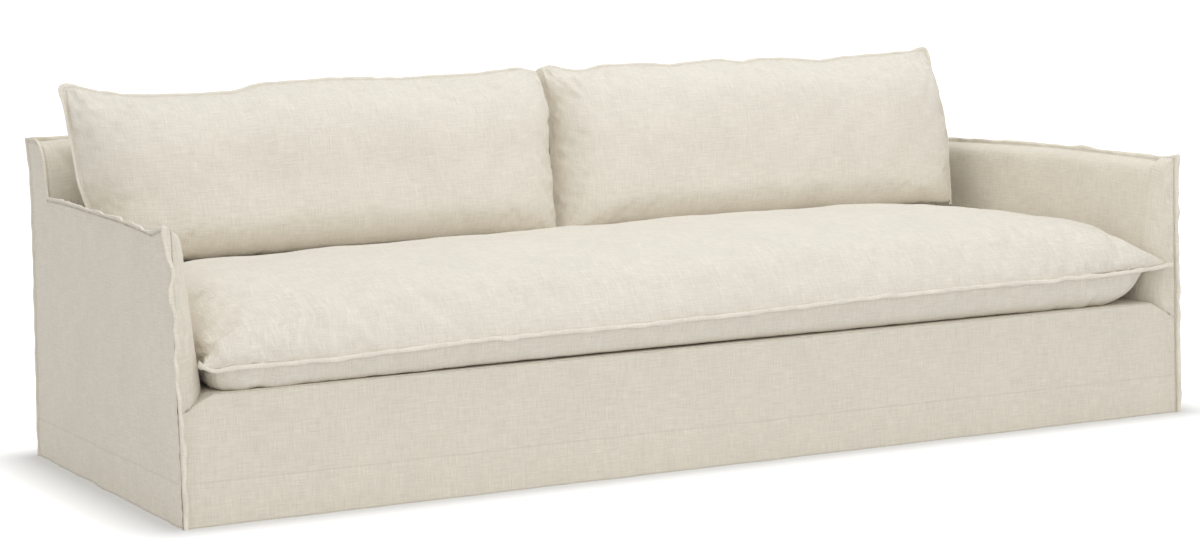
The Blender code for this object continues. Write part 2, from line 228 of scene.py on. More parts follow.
SEAT_CREASES = (
    # x, y
    (-1.165, -0.530, -1.020, -0.390, 0.014, 0.0020, 0.010),
    (-1.120, -0.545, -0.930, -0.430, 0.016, 0.0018, 0.012),
    (-1.170, -0.480, -1.060, -0.300, 0.014, 0.0018, -0.010),
    (-1.060, -0.540, -0.860, -0.360, 0.022, 0.0020, 0.012),
    (-0.940, -0.545, -0.800, -0.420, 0.018, 0.0016, 0.008),
    (1.200, -0.545, 1.060, -0.420, 0.016, 0.0030, -0.008),
    (1.185, -0.505, 1.040, -0.330, 0.020, 0.0028, 0.012),
    (1.140, -0.550, 0.960, -0.450, 0.020, 0.0022, -0.010),
    (1.080, -0.540, 0.900, -0.360, 0.024, 0.0020, 0.012),
    (0.100, -0.520, 0.240, -0.380, 0.020, 0.0014, 0.010),
    (0.450, -0.510, 0.600, -0.330, 0.022, 0.0014, 0.012),
    (-0.450, -0.500, -0.300, -0.340, 0.022, 0.0012, 0.010),
)
PILLOW_CREASES = {
    # way in from that end, z
    -1: (
        (0.02, 0.850, 0.13, 0.720, 0.016, 0.0018, 0.008),
        (0.04, 0.865, 0.20, 0.780, 0.018, 0.0016, -0.008),
        (0.08, 0.870, 0.30, 0.800, 0.020, 0.0012, 0.010),
    ),
    1: (
        (0.02, 0.850, 0.12, 0.720, 0.016, 0.0026, -0.008),
        (0.04, 0.865, 0.19, 0.780, 0.018, 0.0026, 0.008),
        (0.09, 0.870, 0.28, 0.800, 0.022, 0.0018, -0.010),
    ),
}
PUCKERS = (
    # x, z: short pulls below a top seam
    (-0.005, 0.880, 0.030, 0.800, 0.010, 0.0037, 0.004),
    (0.020, 0.885, 0.060, 0.810, 0.009, 0.0041, 0.005),
    (0.061, 0.880, 0.104, 0.836, 0.008, 0.0048, 0.003),
    (0.092, 0.882, 0.120, 0.850, 0.007, 0.0044, 0.002),
    (0.180, 0.880, 0.225, 0.800, 0.010, 0.0020, 0.006),
    (0.321, 0.882, 0.338, 0.850, 0.009, 0.0024, 0.002),
    (0.425, 0.888, 0.442, 0.852, 0.008, 0.0024, 0.002),
    (0.520, 0.876, 0.566, 0.842, 0.008, 0.0031, 0.004),
    (0.560, 0.880, 0.584, 0.825, 0.008, 0.0054, 0.004),
    (0.640, 0.884, 0.690, 0.820, 0.009, 0.0024, 0.006),
    (0.725, 0.882, 0.764, 0.830, 0.009, 0.0031, 0.005),
    (0.800, 0.874, 0.850, 0.828, 0.008, 0.0034, 0.006),
    (0.850, 0.880, 0.912, 0.828, 0.009, 0.0037, 0.008),
    (0.905, 0.882, 0.965, 0.826, 0.008, 0.0034, 0.008),
    (0.955, 0.884, 1.012, 0.824, 0.009, 0.0037, 0.008),
    (1.005, 0.886, 1.050, 0.824, 0.008, 0.0034, 0.006),
    (1.050, 0.886, 1.085, 0.820, 0.009, 0.0034, 0.005),
)

PILLOWS = {
    "back_cushion_left": {
        "met": 1,  # the side on which the two are pushed together
        "ends": (-1.222, -0.030),  # x where the top seam begins and ends
        "seed": 700,
        "gathers": 1.2,  # strength of the gathers below the top seam
        "puckers": (),
        "left": (
            # z, x
            (0.45, -1.203), (0.60, -1.212), (0.66, -1.226), (0.79, -1.233), (0.89, -1.236),
        ),
        "right": (
            # z, x
            (0.45, -0.042), (0.63, -0.024), (0.78, -0.006), (0.89, -0.014),
        ),
        "top": (
            # x, z
            (-1.236, 0.886), (-1.221, 0.894), (-1.202, 0.895), (-1.174, 0.888), (-1.147, 0.881),
            (-1.093, 0.872), (-1.039, 0.866), (-0.900, 0.865), (-0.826, 0.865), (-0.793, 0.871),
            (-0.769, 0.878), (-0.740, 0.882), (-0.570, 0.887), (-0.390, 0.880), (-0.200, 0.882),
            (-0.066, 0.891), (-0.022, 0.886),
        ),
    },
    "back_cushion_right": {
        "met": -1,
        "ends": (-0.015, 1.152),
        "seed": 800,
        "gathers": 2.4,
        "puckers": PUCKERS,
        "left": (
            # z, x
            (0.45, -0.055), (0.63, -0.036), (0.78, -0.016), (0.89, -0.022),
        ),
        "right": (
            # z, x
            (0.45, 1.125), (0.65, 1.162), (0.73, 1.167), (0.82, 1.163), (0.89, 1.155),
        ),
        "top": (
            # x, z
            (-0.030, 0.888), (0.000, 0.894), (0.028, 0.892), (0.052, 0.884), (0.085, 0.880),
            (0.117, 0.880), (0.165, 0.889), (0.278, 0.889), (0.365, 0.882), (0.410, 0.886),
            (0.455, 0.889), (0.516, 0.891), (0.550, 0.885), (0.579, 0.880), (0.611, 0.886),
            (0.637, 0.889), (0.736, 0.883), (0.818, 0.875), (0.892, 0.883), (0.994, 0.885),
            (1.107, 0.889), (1.128, 0.892), (1.155, 0.891),
        ),
    },
}

# Finishes
LINEN_SHINE = {
    "Roughness": 0.92, "Specular IOR Level": 0.25, "Sheen Weight": 0.12, "Sheen Roughness": 0.5,
}
SLUBS = (
    # scales along u and along v of the fine and of the coarse threads
    ((720, 30), (300, 14)),
    ((26, 660), (12, 270)),
)
# The groove beside a row of stitches: a painted shade colour, how much of it is mixed in, and the
# groove's depth for the bump
GROOVE_SHADE_COLOUR, GROOVE_SHADE_TONE, GROOVE_DEPTH = (0.36, 0.31, 0.24, 1.0), 0.15, 0.8
THREAD_COLOUR, THREAD_TONE, THREAD_HEIGHT = (0.72, 0.68, 0.60, 1.0), 0.35, 0.9
STITCH_LENGTH = 0.0042
BUMP = {"Strength": 0.55, "Distance": 0.0006}
FLOOR_COLOUR = (0.88, 0.88, 0.88, 1.0)
FLOOR_GLOW = (0.02, 0.24, 0.0, 0.72)  # from and to a distance from the cover, its strength there
FLOOR_SIZE = 600
WHITE = (1.0, 1.0, 1.0, 1.0)

# Studio
CAMERA_PLACE = (-2.9355, -5.9126, 1.0653)
CAMERA_TURN = (26.211, 5.844, -1.833)  # yaw, pitch and roll in degrees
CAMERA_LENS, CAMERA_SENSOR = 82.42, 36.0
SOFTBOXES = {
    # size, place, aim, colour
    "top light": ((4.5, 3.0), (0.4, -0.6, 3.6), (0.0, 0.0, 0.3), (0.94, 0.975, 1.0)),
    "front light": ((4.0, 2.4), (-1.4, -5.8, 1.9), (0.0, 0.0, 0.4), (1.0, 1.0, 1.0)),
}


# Settings that a user would change


class CoverSettings(bpy.types.PropertyGroup):
    """Sizes of the cloth panels and of their flanges."""

    thickness: bpy.props.FloatProperty(
        name="Cloth thickness",
        description="Thickness of one layer",
        default=0.0012, unit="LENGTH",
    )
    ruffle: bpy.props.FloatProperty(
        name="Ruffle",
        description="How far a flange's tip wavers to each side",
        default=0.0032, unit="LENGTH",
    )
    pucker: bpy.props.FloatProperty(
        name="Pucker",
        description="Depth of the small gathers beside a seam",
        default=0.0011, unit="LENGTH",
    )
    spacing: bpy.props.FloatProperty(
        name="Grid spacing",
        description="Distance between the points of a seen panel",
        default=0.0055, unit="LENGTH",
    )


class CushionSettings(bpy.types.PropertyGroup):
    """How the cushions are filled."""

    pressure: bpy.props.FloatProperty(
        name="Pressure",
        description="Air pressure that stands for the filling",
        default=4.0, min=0.0,
    )
    growth: bpy.props.FloatProperty(
        name="Spare cloth",
        description="Share by which the cloth is larger than its shape",
        default=0.02, subtype="FACTOR",
    )
    reach: bpy.props.FloatProperty(
        name="Reach",
        description="The furthest that the filling may push a point",
        default=0.010, unit="LENGTH",
    )
    spacing: bpy.props.FloatProperty(
        name="Grid spacing",
        description="Distance between simulated points",
        default=0.0150, unit="LENGTH",
    )


class LinenSettings(bpy.types.PropertyGroup):
    """Colour and weave of the washed linen."""

    cover: bpy.props.FloatVectorProperty(
        name="Cover",
        description="Colour of the cover",
        default=(0.796, 0.741, 0.634), subtype="COLOR",
    )
    # Paler than the cover: the difference is painted light for the brightly lit cushion tops
    cushions: bpy.props.FloatVectorProperty(
        name="Cushions",
        description="Colour of the cushions",
        default=(0.803, 0.752, 0.657), subtype="COLOR",
    )
    pitch: bpy.props.FloatProperty(
        name="Thread pitch",
        description="Distance from thread to thread",
        default=0.0011, unit="LENGTH",
    )
    slub: bpy.props.FloatProperty(
        name="Slub",
        description="How much thick and thin threads differ in tone",
        default=0.112, subtype="FACTOR",
    )


class StageSettings(bpy.types.PropertyGroup):
    """Light of the studio."""

    daylight: bpy.props.FloatProperty(
        name="Daylight",
        description="Strength of the even light from all round",
        default=0.72,
    )
    top_light: bpy.props.FloatProperty(
        name="Top light",
        description="Power of the large light overhead",
        default=47.0, unit="POWER",
    )
    front_light: bpy.props.FloatProperty(
        name="Front light",
        description="Power of the large light in front",
        default=22.0, unit="POWER",
    )


# Numbers and curves


def table(rows, value, key=0, result=1):
    """Reads one column of a table by another, straight between its rows, for whole arrays."""
    keys = np.array([row[key] for row in rows])
    results = np.array([row[result] for row in rows])
    order = np.argsort(keys, kind="stable")
    return np.interp(value, keys[order], results[order])


def sided(x, pair):
    """The left one of a pair where x is below zero, and the right one elsewhere."""
    return np.where(x < 0, pair[-1], pair[1])


def joined(*columns):
    """One array of points, or of values at points, from its columns."""
    return np.stack(np.broadcast_arrays(*columns), axis=-1)


def smooth(low, high, value):
    """Rises from 0 at low to 1 at high as 3t^2 - 2t^3."""
    t = np.clip((value - low) / (high - low), 0.0, 1.0)
    return t * t * (3 - 2 * t)


def bell(distance, width):
    """A bump of height 1: e to the power of minus the square of distance over width."""
    return np.exp(-((distance / width) ** 2))


def fading(distance, reach):
    """1 at a seam, and divided by e with each reach away from it."""
    return np.exp(-distance / reach)


def arch(distance, power, root):
    """A rounded arch: 1 less the distance to a power, never below 0, and then the root's power."""
    return np.maximum(1 - np.abs(distance) ** power, 0.0) ** root


def wave(along, phase):
    """An uneven wavering from -1 to 1: three sines whose lengths share no beat."""
    return (
        0.5 * np.sin(TAU * along / 0.34 + phase)
        + 0.3 * np.sin(TAU * along / 0.19 + 2.1 * phase)
        + 0.2 * np.sin(TAU * along / 0.12 + 3.7 * phase)
    )


def drift(a, b, length_a, length_b, seed):
    """Smooth unevenness of about -1 to 1: seven plane waves of random turn, as long as asked
    each way."""
    rng = np.random.default_rng(seed)
    total = 0.0
    for _ in range(7):
        turn, phase, pace = rng.uniform(0, TAU), rng.uniform(0, TAU), rng.uniform(0.7, 1.5)
        total = total + np.sin(
            TAU * pace * (a * math.cos(turn) / length_a + b * math.sin(turn) / length_b) + phase
        )
    return total / 3.2


def wavering(along, length, seed):
    """The same unevenness along a single line."""
    return drift(along, 0 * along, length, 1, seed)


def slack(a, b, seed, *sizes):
    """Loose cloth: the sum of unevenness in several sizes, each with its depth and its lengths
    along a and b."""
    return sum(
        depth * drift(a, b, length_a, length_b, seed + number)
        for number, (depth, length_a, length_b) in enumerate(sizes)
    )


def ruffles(along, seed):
    """Wavering of a flange's tip from -1 to 1: waves 40 to 150 mm long that swell and die away."""
    strength = 0.60 + 0.50 * np.clip(wavering(along, 0.35, seed + 1), -0.7, 1.0)
    waves = 0.8 * wavering(along, 0.060, seed) + 0.6 * wavering(along, 0.160, seed + 2)
    return np.clip(waves * strength, -1.3, 1.3)


def gathers(along, distance, reach, seed):
    """Small gathers beside a seam: uneven furrows 25 to 45 mm apart that slant and fade away
    from it."""
    furrow = wavering(along + 0.35 * distance, 0.030, seed)
    strength = 0.55 + 0.45 * wavering(along, 0.25, seed + 3)
    return furrow * strength * fading(np.maximum(distance, 0), reach)


def hollow(distance):
    """The soft hollow that a stiff flange draws beside its seam, less the small flare up to it."""
    return 0.0022 * bell(distance - 0.015, 0.010) - 0.0012 * bell(distance, 0.006)


def hem_depth(z, width, blur, step=HEM_GROOVE, rise=0.0):
    """How far the cloth lies back at its hem: the groove of the stitching, less the step of the
    layer that is turned up behind it."""
    groove = HEM_GROOVE * bell(z - HEM_STITCH_Z - rise, width)
    return groove - step * smooth(HEM_STITCH_Z + blur, HEM_STITCH_Z - blur, z)


def creases(a, b, rows):
    """Depth of all the troughs at a point: each is a bell across its line that swells along it as
    a sine to the power of 0.8. One side is steeper than the other."""
    depth = 0.0
    for a0, b0, a1, b1, width, deep, bow in rows:
        length = math.hypot(a1 - a0, b1 - b0)
        ua, ub = (a1 - a0) / length, (b1 - b0) / length
        t = ((a - a0) * ua + (b - b0) * ub) / length
        inside = np.sin(math.pi * np.clip(t, 0, 1))
        aside = (b - b0) * ua - (a - a0) * ub - bow * inside
        across = bell(aside, np.where(aside > 0, width, 0.6 * width))
        depth = depth + deep * across * inside ** 0.8
    return depth


def even_stations(heights, low, high, spacing):
    """Stations from low to high that lie evenly along the curve of heights, a function of the
    station."""
    dense = low + (high - low) * (1 - np.cos(np.linspace(0, math.pi, 4001))) / 2
    across, up = heights(dense)
    way = np.concatenate([[0], np.cumsum(np.hypot(np.diff(across), np.diff(up)))])
    count = max(int(round(way[-1] / spacing)), 4)
    return np.interp(np.linspace(0, way[-1], count + 1), way, dense)


def refined(grid, times=1):
    """Twice as fine a grid each time: a new point is the four-point mean (-1, 9, 9, -1) / 16 of
    its line."""
    for axis in (0, 1) * times:
        line = np.moveaxis(grid, axis, 0)
        ends = np.concatenate([2 * line[:1] - line[1:2], line, 2 * line[-1:] - line[-2:-1]])
        middle = (9 * (ends[1:-2] + ends[2:-1]) - ends[:-3] - ends[3:]) / 16
        fine = np.empty((2 * len(line) - 1,) + line.shape[1:])
        fine[::2], fine[1::2] = line, middle
        grid = np.moveaxis(fine, 0, axis)
    return grid


# Curves that several panels share


def blunted(rows):
    """The way along a table's two columns, and both columns by it, with their corners rounded by a
    Hann mean of 61 of 1201 even stations, which is 30 mm."""
    rows = np.array(rows)
    way = np.concatenate([[0], np.cumsum(np.linalg.norm(np.diff(rows, axis=0), axis=1))])
    fine = np.linspace(0, way[-1], 1201)
    weight = np.hanning(61) / np.hanning(61).sum()
    padded = (
        np.pad(np.interp(fine, way, column), len(weight) // 2, mode="reflect", reflect_type="odd")
        for column in rows.T
    )
    return fine, *(np.convolve(column, weight, "valid") for column in padded)


BACK_WAY, BACK_Y, BACK_Z = blunted(BACK_PROFILE)


def arm_seam(side, y):
    """Height of the seam along the top of an arm."""
    return table(ARM_TOP, y, result=1 if side < 0 else 2) - FLANGE


def rear_seam(z):
    """Depth at which the cover's rear seams lie."""
    return table(REAR_TIP, z) - FLANGE


def back_face(z):
    """Depth of the inside back at a height."""
    falling = slice(int(np.argmax(BACK_Z)), None)
    return np.interp(z, BACK_Z[falling][::-1], BACK_Y[falling][::-1])


def recess(x):
    """How far the inside back lies further to the rear towards its ends."""
    return sided(x, END_RECESS) * smooth(1.09, 1.15, np.abs(x))


def end_recess(side, y):
    """The same at the very end, where it fades out over the top of the back."""
    return END_RECESS[side] * (1 - smooth(0.42, 0.50, y))


def settled(points):
    """The cover as it hangs: its right side comes in a little towards the back."""
    x, y = points[..., 0], points[..., 1]
    points = points.copy()
    points[..., 0] = x - TOE_IN * smooth(-0.15, 0.45, y) * np.maximum(x, 0.0) / SIDE_X
    return points


def arm_depth(drop):
    """How far the inside arm lies in from the side panel: a quick swell, then a slope."""
    return ARM_KNIFE[0] * (1 - fading(drop, ARM_KNIFE[1])) + ARM_SLOPE * drop


def soft_turn(drop):
    """Radius of the turn round the front of an arm, which grows downwards."""
    return 1.6 * (0.030 + 0.06 * drop)


def shelf(x):
    """Height at which the back cushions press the seat flat: lower towards the left end."""
    return SHELF_Z - 0.006 * smooth(-0.2, -0.9, x) - 0.012 * smooth(-1.07, -1.18, x)


def skirt_top(x):
    """Top edge of the skirt, which falls under each arm."""
    beyond = np.maximum(0.0, np.abs(x) - SKIRT_FALL_X)
    return DECK_Z - SKIRT_FALL * beyond / (JOIN_X - SKIRT_FALL_X)


# Surfaces and meshes

# points (n, 3); faces (m, 4) of indices; cloth (m, 4, 2), where each corner lies on the flat cloth;
# sewn (n, 4), which sewing() gives; caps, the faces with more corners
Surface = collections.namedtuple("Surface", "points faces cloth sewn caps")


def sewing(along, distance, creased=0.0, painted_rim_highlight=0.0):
    """At each point the way along the stitching, the distance from it, how creased the cloth is
    and how far a painted highlight brightens it, as along the tips of the flanges."""
    return joined(along, distance, creased, painted_rim_highlight).astype(float)


def normals(points, flip=False):
    """Unit normals of a grid: its step along the row crossed with its step up the column."""
    normal = np.cross(np.gradient(points, axis=1), np.gradient(points, axis=0))
    normal /= np.maximum(np.linalg.norm(normal, axis=2, keepdims=True), 1e-12)
    return -normal if flip else normal


def raised(points, relief, flip=False):
    """The grid moved along its normals by the relief."""
    return points + relief[..., None] * normals(points, flip)


def numbered(rows, columns):
    """The indices of a grid's points, row after row."""
    return np.arange(rows * columns).reshape(rows, columns)


def quads(index, keep=None, flip=False):
    """The four-sided faces between the rows and columns of an index grid."""
    faces = np.stack([index[:-1, :-1], index[:-1, 1:], index[1:, 1:], index[1:, :-1]], axis=-1)
    faces = faces.reshape(-1, 4) if keep is None else faces[keep]
    return faces[:, ::-1] if flip else faces


def laid_flat(points):
    """Where a grid's points lie on the flat cloth: the way along the row from its middle, and up
    the column."""
    along = np.linalg.norm(np.diff(points, axis=1), axis=2)
    up = np.linalg.norm(np.diff(points, axis=0), axis=2)
    u = np.pad(np.cumsum(along, axis=1), ((0, 0), (1, 0)))
    v = np.pad(np.cumsum(up, axis=0), ((1, 0), (0, 0)))
    return np.stack([u - u[:, [u.shape[1] // 2]], v], axis=-1)


def panel(points, sewn, thickness, keep=None, flip=False):
    """A sheet: the grid, a copy one thickness behind it along the normals, and a strip round each
    open edge, which is a face's edge that no other face has."""
    face = quads(numbered(*points.shape[:2]), keep, flip)
    used, face = np.unique(face, return_inverse=True)
    face = face.reshape(-1, 4)
    front = points.reshape(-1, 3)[used]
    behind = front - thickness * normals(points, flip).reshape(-1, 3)[used]
    count = len(front)
    edges = np.concatenate([face[:, [i, (i + 1) % 4]] for i in range(4)])
    _, place, times = np.unique(
        np.sort(edges, axis=1), axis=0, return_index=True, return_counts=True
    )
    rim = edges[place[times == 1]]
    strip = joined(rim[:, 1], rim[:, 0], rim[:, 0] + count, rim[:, 1] + count)
    faces = np.concatenate([face, face[:, ::-1] + count, strip])
    flat = np.tile(laid_flat(points).reshape(-1, 2)[used], (2, 1))
    sewn = np.tile(sewn.reshape(-1, 4)[used], (2, 1))
    return Surface(np.concatenate([front, behind]), faces, flat[faces], sewn, [])


def filled(front, back, sewn_front, sewn_back):
    """A closed cushion: two grids of one size that share the points of their rim."""
    rows, columns = front.shape[:2]
    index = numbered(rows, columns)
    other = index.copy()
    other[1:-1, 1:-1] = rows * columns + numbered(rows - 2, columns - 2)
    faces = quads(index), quads(other, flip=True)
    points = np.concatenate([front.reshape(-1, 3), back[1:-1, 1:-1].reshape(-1, 3)])
    sewn = np.concatenate([sewn_front.reshape(-1, 4), sewn_back[1:-1, 1:-1].reshape(-1, 4)])
    cloth = np.concatenate([
        laid_flat(front).reshape(-1, 2)[faces[0]],
        laid_flat(back).reshape(-1, 2)[quads(index, flip=True)],
    ])
    return outwards(Surface(points, np.concatenate(faces), cloth, sewn, []))


def outwards(surface):
    """The same closed surface with its faces turned outwards: its signed volume is then above
    zero."""
    a, b, c, d = (surface.points[surface.faces[:, i]] for i in range(4))
    if np.sum(a * (np.cross(b, c) + np.cross(c, d))) > 0:
        return surface
    return surface._replace(
        faces=surface.faces[:, ::-1],
        cloth=surface.cloth[:, ::-1],
        caps=[cap[::-1] for cap in surface.caps],
    )


# Section of a flange: how far out, as a share of its width, and half its thickness there
LIP_OUT = np.array([-0.25, 0.0, 0.12, 0.35, 0.60, 0.82, 0.95, 1.0])
LIP_HALF = np.array([0.0013, 0.0009, 0.0011, 0.0020, 0.0027, 0.0027, 0.0018, 0.0])
LIP_STITCHES = 0.32  # the share at which its row of stitches runs


def outline(stretches, square=0.8):
    """One seam line in the plane from its stretches, with the flange on its left.

    Returns places, outward directions times the flange's width, and the way along the tip. Where
    the line turns away from the flange it fans round the corner, in a quarter circle or more or
    less square. Where it turns towards it, it is mitred.
    """
    mitred = 1.1 * FLANGE  # what a mitre takes off the stretches beside it
    places, outs = [], []
    for stretch in stretches:
        step = np.gradient(stretch, axis=0)
        step /= np.linalg.norm(step, axis=1, keepdims=True)
        out = joined(-step[:, 1], step[:, 0])
        if places:
            before, last = outs[-1][-1], places[-1][-1]
            turn = before[0] * out[0, 1] - before[1] * out[0, 0]
            if turn < 0:  # the fan
                share = np.linspace(0, 1, 9)[1:-1, None]
                span = math.acos(np.clip(before @ out[0], -1, 1))
                angle = math.atan2(before[1], before[0]) - share * span
                fan = np.concatenate([np.cos(angle), np.sin(angle)], axis=1)
                half = np.cos(np.minimum(share, 1 - share) * span)
                outs.append(fan / np.maximum(half, 0.72) ** square)
                places.append(np.repeat(stretch[:1], len(fan), axis=0))
            else:  # the mitre
                keep = np.linalg.norm(places[-1] - last, axis=1) > mitred
                places[-1], outs[-1] = places[-1][keep], outs[-1][keep]
                middle = before + out[0]
                outs.append((middle / (0.5 * (middle @ middle)))[None])
                places.append(stretch[:1])
                keep = np.linalg.norm(stretch - stretch[0], axis=1) > mitred
                stretch, out = stretch[keep], out[keep]
        places.append(stretch)
        outs.append(out)
    places, outs = np.concatenate(places), np.concatenate(outs) * FLANGE
    steps = np.linalg.norm(np.diff(places + outs, axis=0), axis=1)
    return places, outs, np.concatenate([[0], np.cumsum(steps)])


def flange(line, lift, face, seed, ruffle, curls=(), tilt=0.0, fat=1.0, scallop=0.08):
    """A flat closed tube along a seam.

    A point is lift(place + out * s * cos t), moved along the face direction by half the section's
    thickness, by s * sin t, where t is the flange's turn, and by the tip's lean times s squared.
    The width varies by the share scallop. Curls bend the tip at one place: each is a place, its
    size, how far the tip bends and how much wider it grows.
    """
    places, outs, way = line
    share = np.concatenate([LIP_OUT, LIP_OUT[-2::-1]])
    half = np.concatenate([LIP_HALF, -LIP_HALF[-2::-1]])
    breadth = 1 + scallop * wavering(way, 0.11, seed + 7)
    lean = ruffle * ruffles(way, seed)
    reach = 1.0
    for a, b, size, bend, grow in curls:
        near = bell(np.linalg.norm(places - np.array([a, b]), axis=1), size)
        lean = lean * (1 - 0.7 * near) + bend * near
        reach = reach + grow * near
    turn = np.arctan(np.broadcast_to(tilt, way.shape))
    outward = share * (breadth * reach * np.cos(turn))[:, None]
    flat = places[:, None] + outs[:, None] * outward[..., None]
    tip = np.clip(share, 0, 1)
    thickness = fat * (1 + 0.15 * wavering(way, 0.05, seed + 9))
    aside = (
        thickness[:, None] * half
        + np.sin(turn)[:, None] * FLANGE * tip
        + lean[:, None] * tip ** 2
    )
    points = lift(flat) + aside[..., None] * np.asarray(face, dtype=float)
    index = numbered(*points.shape[:2])
    faces = quads(np.concatenate([index, index[:, :1]], axis=1))
    cloth = joined(way[:, None], share * FLANGE).reshape(-1, 2)[faces]
    # Towards its tip the flange gets a painted highlight, for the light that catches its rim
    sewn = sewing(
        way[:, None], (share - LIP_STITCHES) * FLANGE, 0.3, smooth(0.55, 1.0, share)
    ).reshape(-1, 4)
    return outwards(
        Surface(points.reshape(-1, 3), faces, cloth, sewn, [index[0], index[-1][::-1]])
    )


def mesh_object(name, surfaces, material):
    """Joins closed surfaces into one mesh object, with the cloth's UV map and the attributes of
    its stitching and of its painted rim highlight."""
    points, faces, corners, sewn, start = [], [], [], [], 0
    for surface in surfaces:
        points.append(surface.points)
        sewn.append(surface.sewn)
        faces.extend((surface.faces + start).tolist())
        corners.append(surface.cloth.reshape(-1, 2))
        for cap in surface.caps:
            faces.append((cap + start).tolist())
            corners.append(np.zeros((len(cap), 2)))
        start += len(surface.points)
    mesh = bpy.data.meshes.new(name)
    mesh.from_pydata(np.concatenate(points), [], faces)
    corners = np.concatenate(corners).astype(np.float32)
    mesh.uv_layers.new(name="cloth").data.foreach_set("uv", corners.ravel())
    sewn = np.concatenate(sewn).astype(np.float32)
    stitching = mesh.attributes.new("sewn", "FLOAT_VECTOR", "POINT").data
    stitching.foreach_set("vector", sewn[:, :3].ravel())
    # The painted highlight along the tips of the flanges
    highlights = mesh.attributes.new("painted_rim_highlight", "FLOAT", "POINT").data
    highlights.foreach_set("value", sewn[:, 3].ravel())
    mesh.shade_smooth()
    mesh.materials.append(material)
    obj = bpy.data.objects.new(name, mesh)
    bpy.context.scene.collection.objects.link(obj)
    return obj


def dress(name, node, surfaces, material):
    """Makes a piece that stands for a node of the frame."""
    piece = mesh_object(name, surfaces, material)
    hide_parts(node)
    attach(piece, "root")
    return piece


# Side panels: the outside arm and the end of the back, in one L of cloth. Of each pair of values
# the left side has the key -1.

ARM_LENGTH, ARM_HEIGHT, STRIP = 0.93, 0.62, 0.135  # lengths of the L that set its grid
CORNER_WAVER = {-1: 0.0027, 1: 0.00144}  # of the front corner's flange, in its own plane
CORNER_RUFFLE = {-1: 1.9, 1: 0.9}  # to the sides, as a multiple of the cover's ruffle
TOP_RUFFLE = {-1: 1.9, 1: 1.2}
ARM_CURLS = {
    # way behind the front corner, size, how far the flange's tip bends, how much wider it grows
    -1: ((0.0, 0.026, 0.016, 0.05), (0.055, 0.018, -0.003, -0.15)),
    1: ((0.0, 0.026, 0.005, 0.05),),
}


def strip_line(side, z):
    """Front edge of the back's end strip."""
    y = back_face(np.clip(z, STRIP_FOOT_Z, STRIP_TOP_Z))
    return y + end_recess(side, y)


def strip_top(side, y):
    """Top edge of the end strip: the rounded profile of the inside back."""
    upper = BACK_Z > 0.70
    moved = BACK_Y[upper] + end_recess(side, BACK_Y[upper])
    return np.interp(y, moved[::-1], BACK_Z[upper][::-1])


def side_sheet(side, cover):
    """The L between the front, arm, strip and rear seams. Out of its plane it is a long swell, a
    slow hang in upright folds, gathers beside the seams, the laid creases and the hem's groove."""
    spacing, seed = COARSE["side"][side] * cover.spacing, SEEDS["side"][side]

    def steps(length):
        """Even stations along one leg of the L, from 0 to 1."""
        return np.linspace(0, 1, max(int(length / spacing), 3) + 1)

    strip = 1 + steps(STRIP)[1:]
    column, row = np.meshgrid(
        np.append(steps(ARM_LENGTH), strip), np.append(steps(ARM_HEIGHT), strip)
    )
    level = np.interp(row, [0, 1, 2], [0, arm_seam(side, ARM_END_Y), STRIP_TOP_Z])
    line, rear = strip_line(side, level), rear_seam(level)
    y = np.where(
        column <= 1,
        FRONT_Y + (line - FRONT_Y) * column,
        line + (rear - line) * (column - 1),
    )
    seam = arm_seam(side, np.minimum(y, ARM_END_Y))
    top = strip_top(side, np.maximum(y, strip_line(side, STRIP_TOP_Z)))
    z = np.where(row <= 1, seam * row, seam + (top - seam) * (row - 1))

    to_front, to_rear = y - FRONT_Y, rear - y
    to_top, to_strip = np.where(column <= 1, seam - z, 1.0), np.where(row >= 1, y - line, 1.0)
    inside = smooth(0, 0.05, to_front) * smooth(0, 0.05, to_rear)
    swell = 0.002 * np.sin(math.pi * np.minimum(z / 0.6, 1.0)) * np.sin(math.pi * to_front / 1.1)
    hang = 0.0016 * drift(y, z, 0.26, 1.3, seed) * smooth(0.66, 0.35, z)
    rumple = 0.0006 * drift(y, z, 0.075, 0.13, seed + 1)
    kick = 0.0016 * drift(y, z, 0.21, 9.0, seed + 6) * smooth(0.18, 0.0, z)
    pull = cover.pucker * (
        gathers(z, to_front, 0.022, seed + 2)
        + 1.2 * gathers(y, to_top, 0.016, seed + 3)
        + gathers(z, to_rear, 0.018, seed + 4)
        + gathers(z, to_strip, 0.012, seed + 5)
    )
    dents = (
        creases(y, z, SIDE_CREASES if side < 0 else SIDE_CREASES[4:10])
        + 1.6 * hollow(to_front)
        + 1.2 * hollow(to_top)
        + 0.8 * hollow(to_strip)
        + 0.8 * hollow(to_rear)
        + hem_depth(z, 0.0035, 0.004)
    )
    relief = np.maximum(swell, 0) + (hang + rumple + kick) * inside + pull - dents
    points = settled(joined(side * (SIDE_X + relief), y, z))
    middle = [(share[:-1, :-1] + share[1:, 1:]) / 2 for share in (column, row)]
    creased = 0.25 + 0.5 * fading(np.minimum(to_front, to_top), 0.06)
    return panel(
        points, sewing(y, z - HEM_STITCH_Z, creased), cover.thickness,
        keep=(middle[0] > 1) | (middle[1] < 1), flip=side < 0,
    )


def corner_lean(z, top):
    """Slope of the left arm's upright flange: inwards below the seat, outwards above it, and
    further at its tip."""
    return -0.25 + 0.55 * smooth(0.24, 0.30, z) + 0.7 * smooth(0.51, top, z)


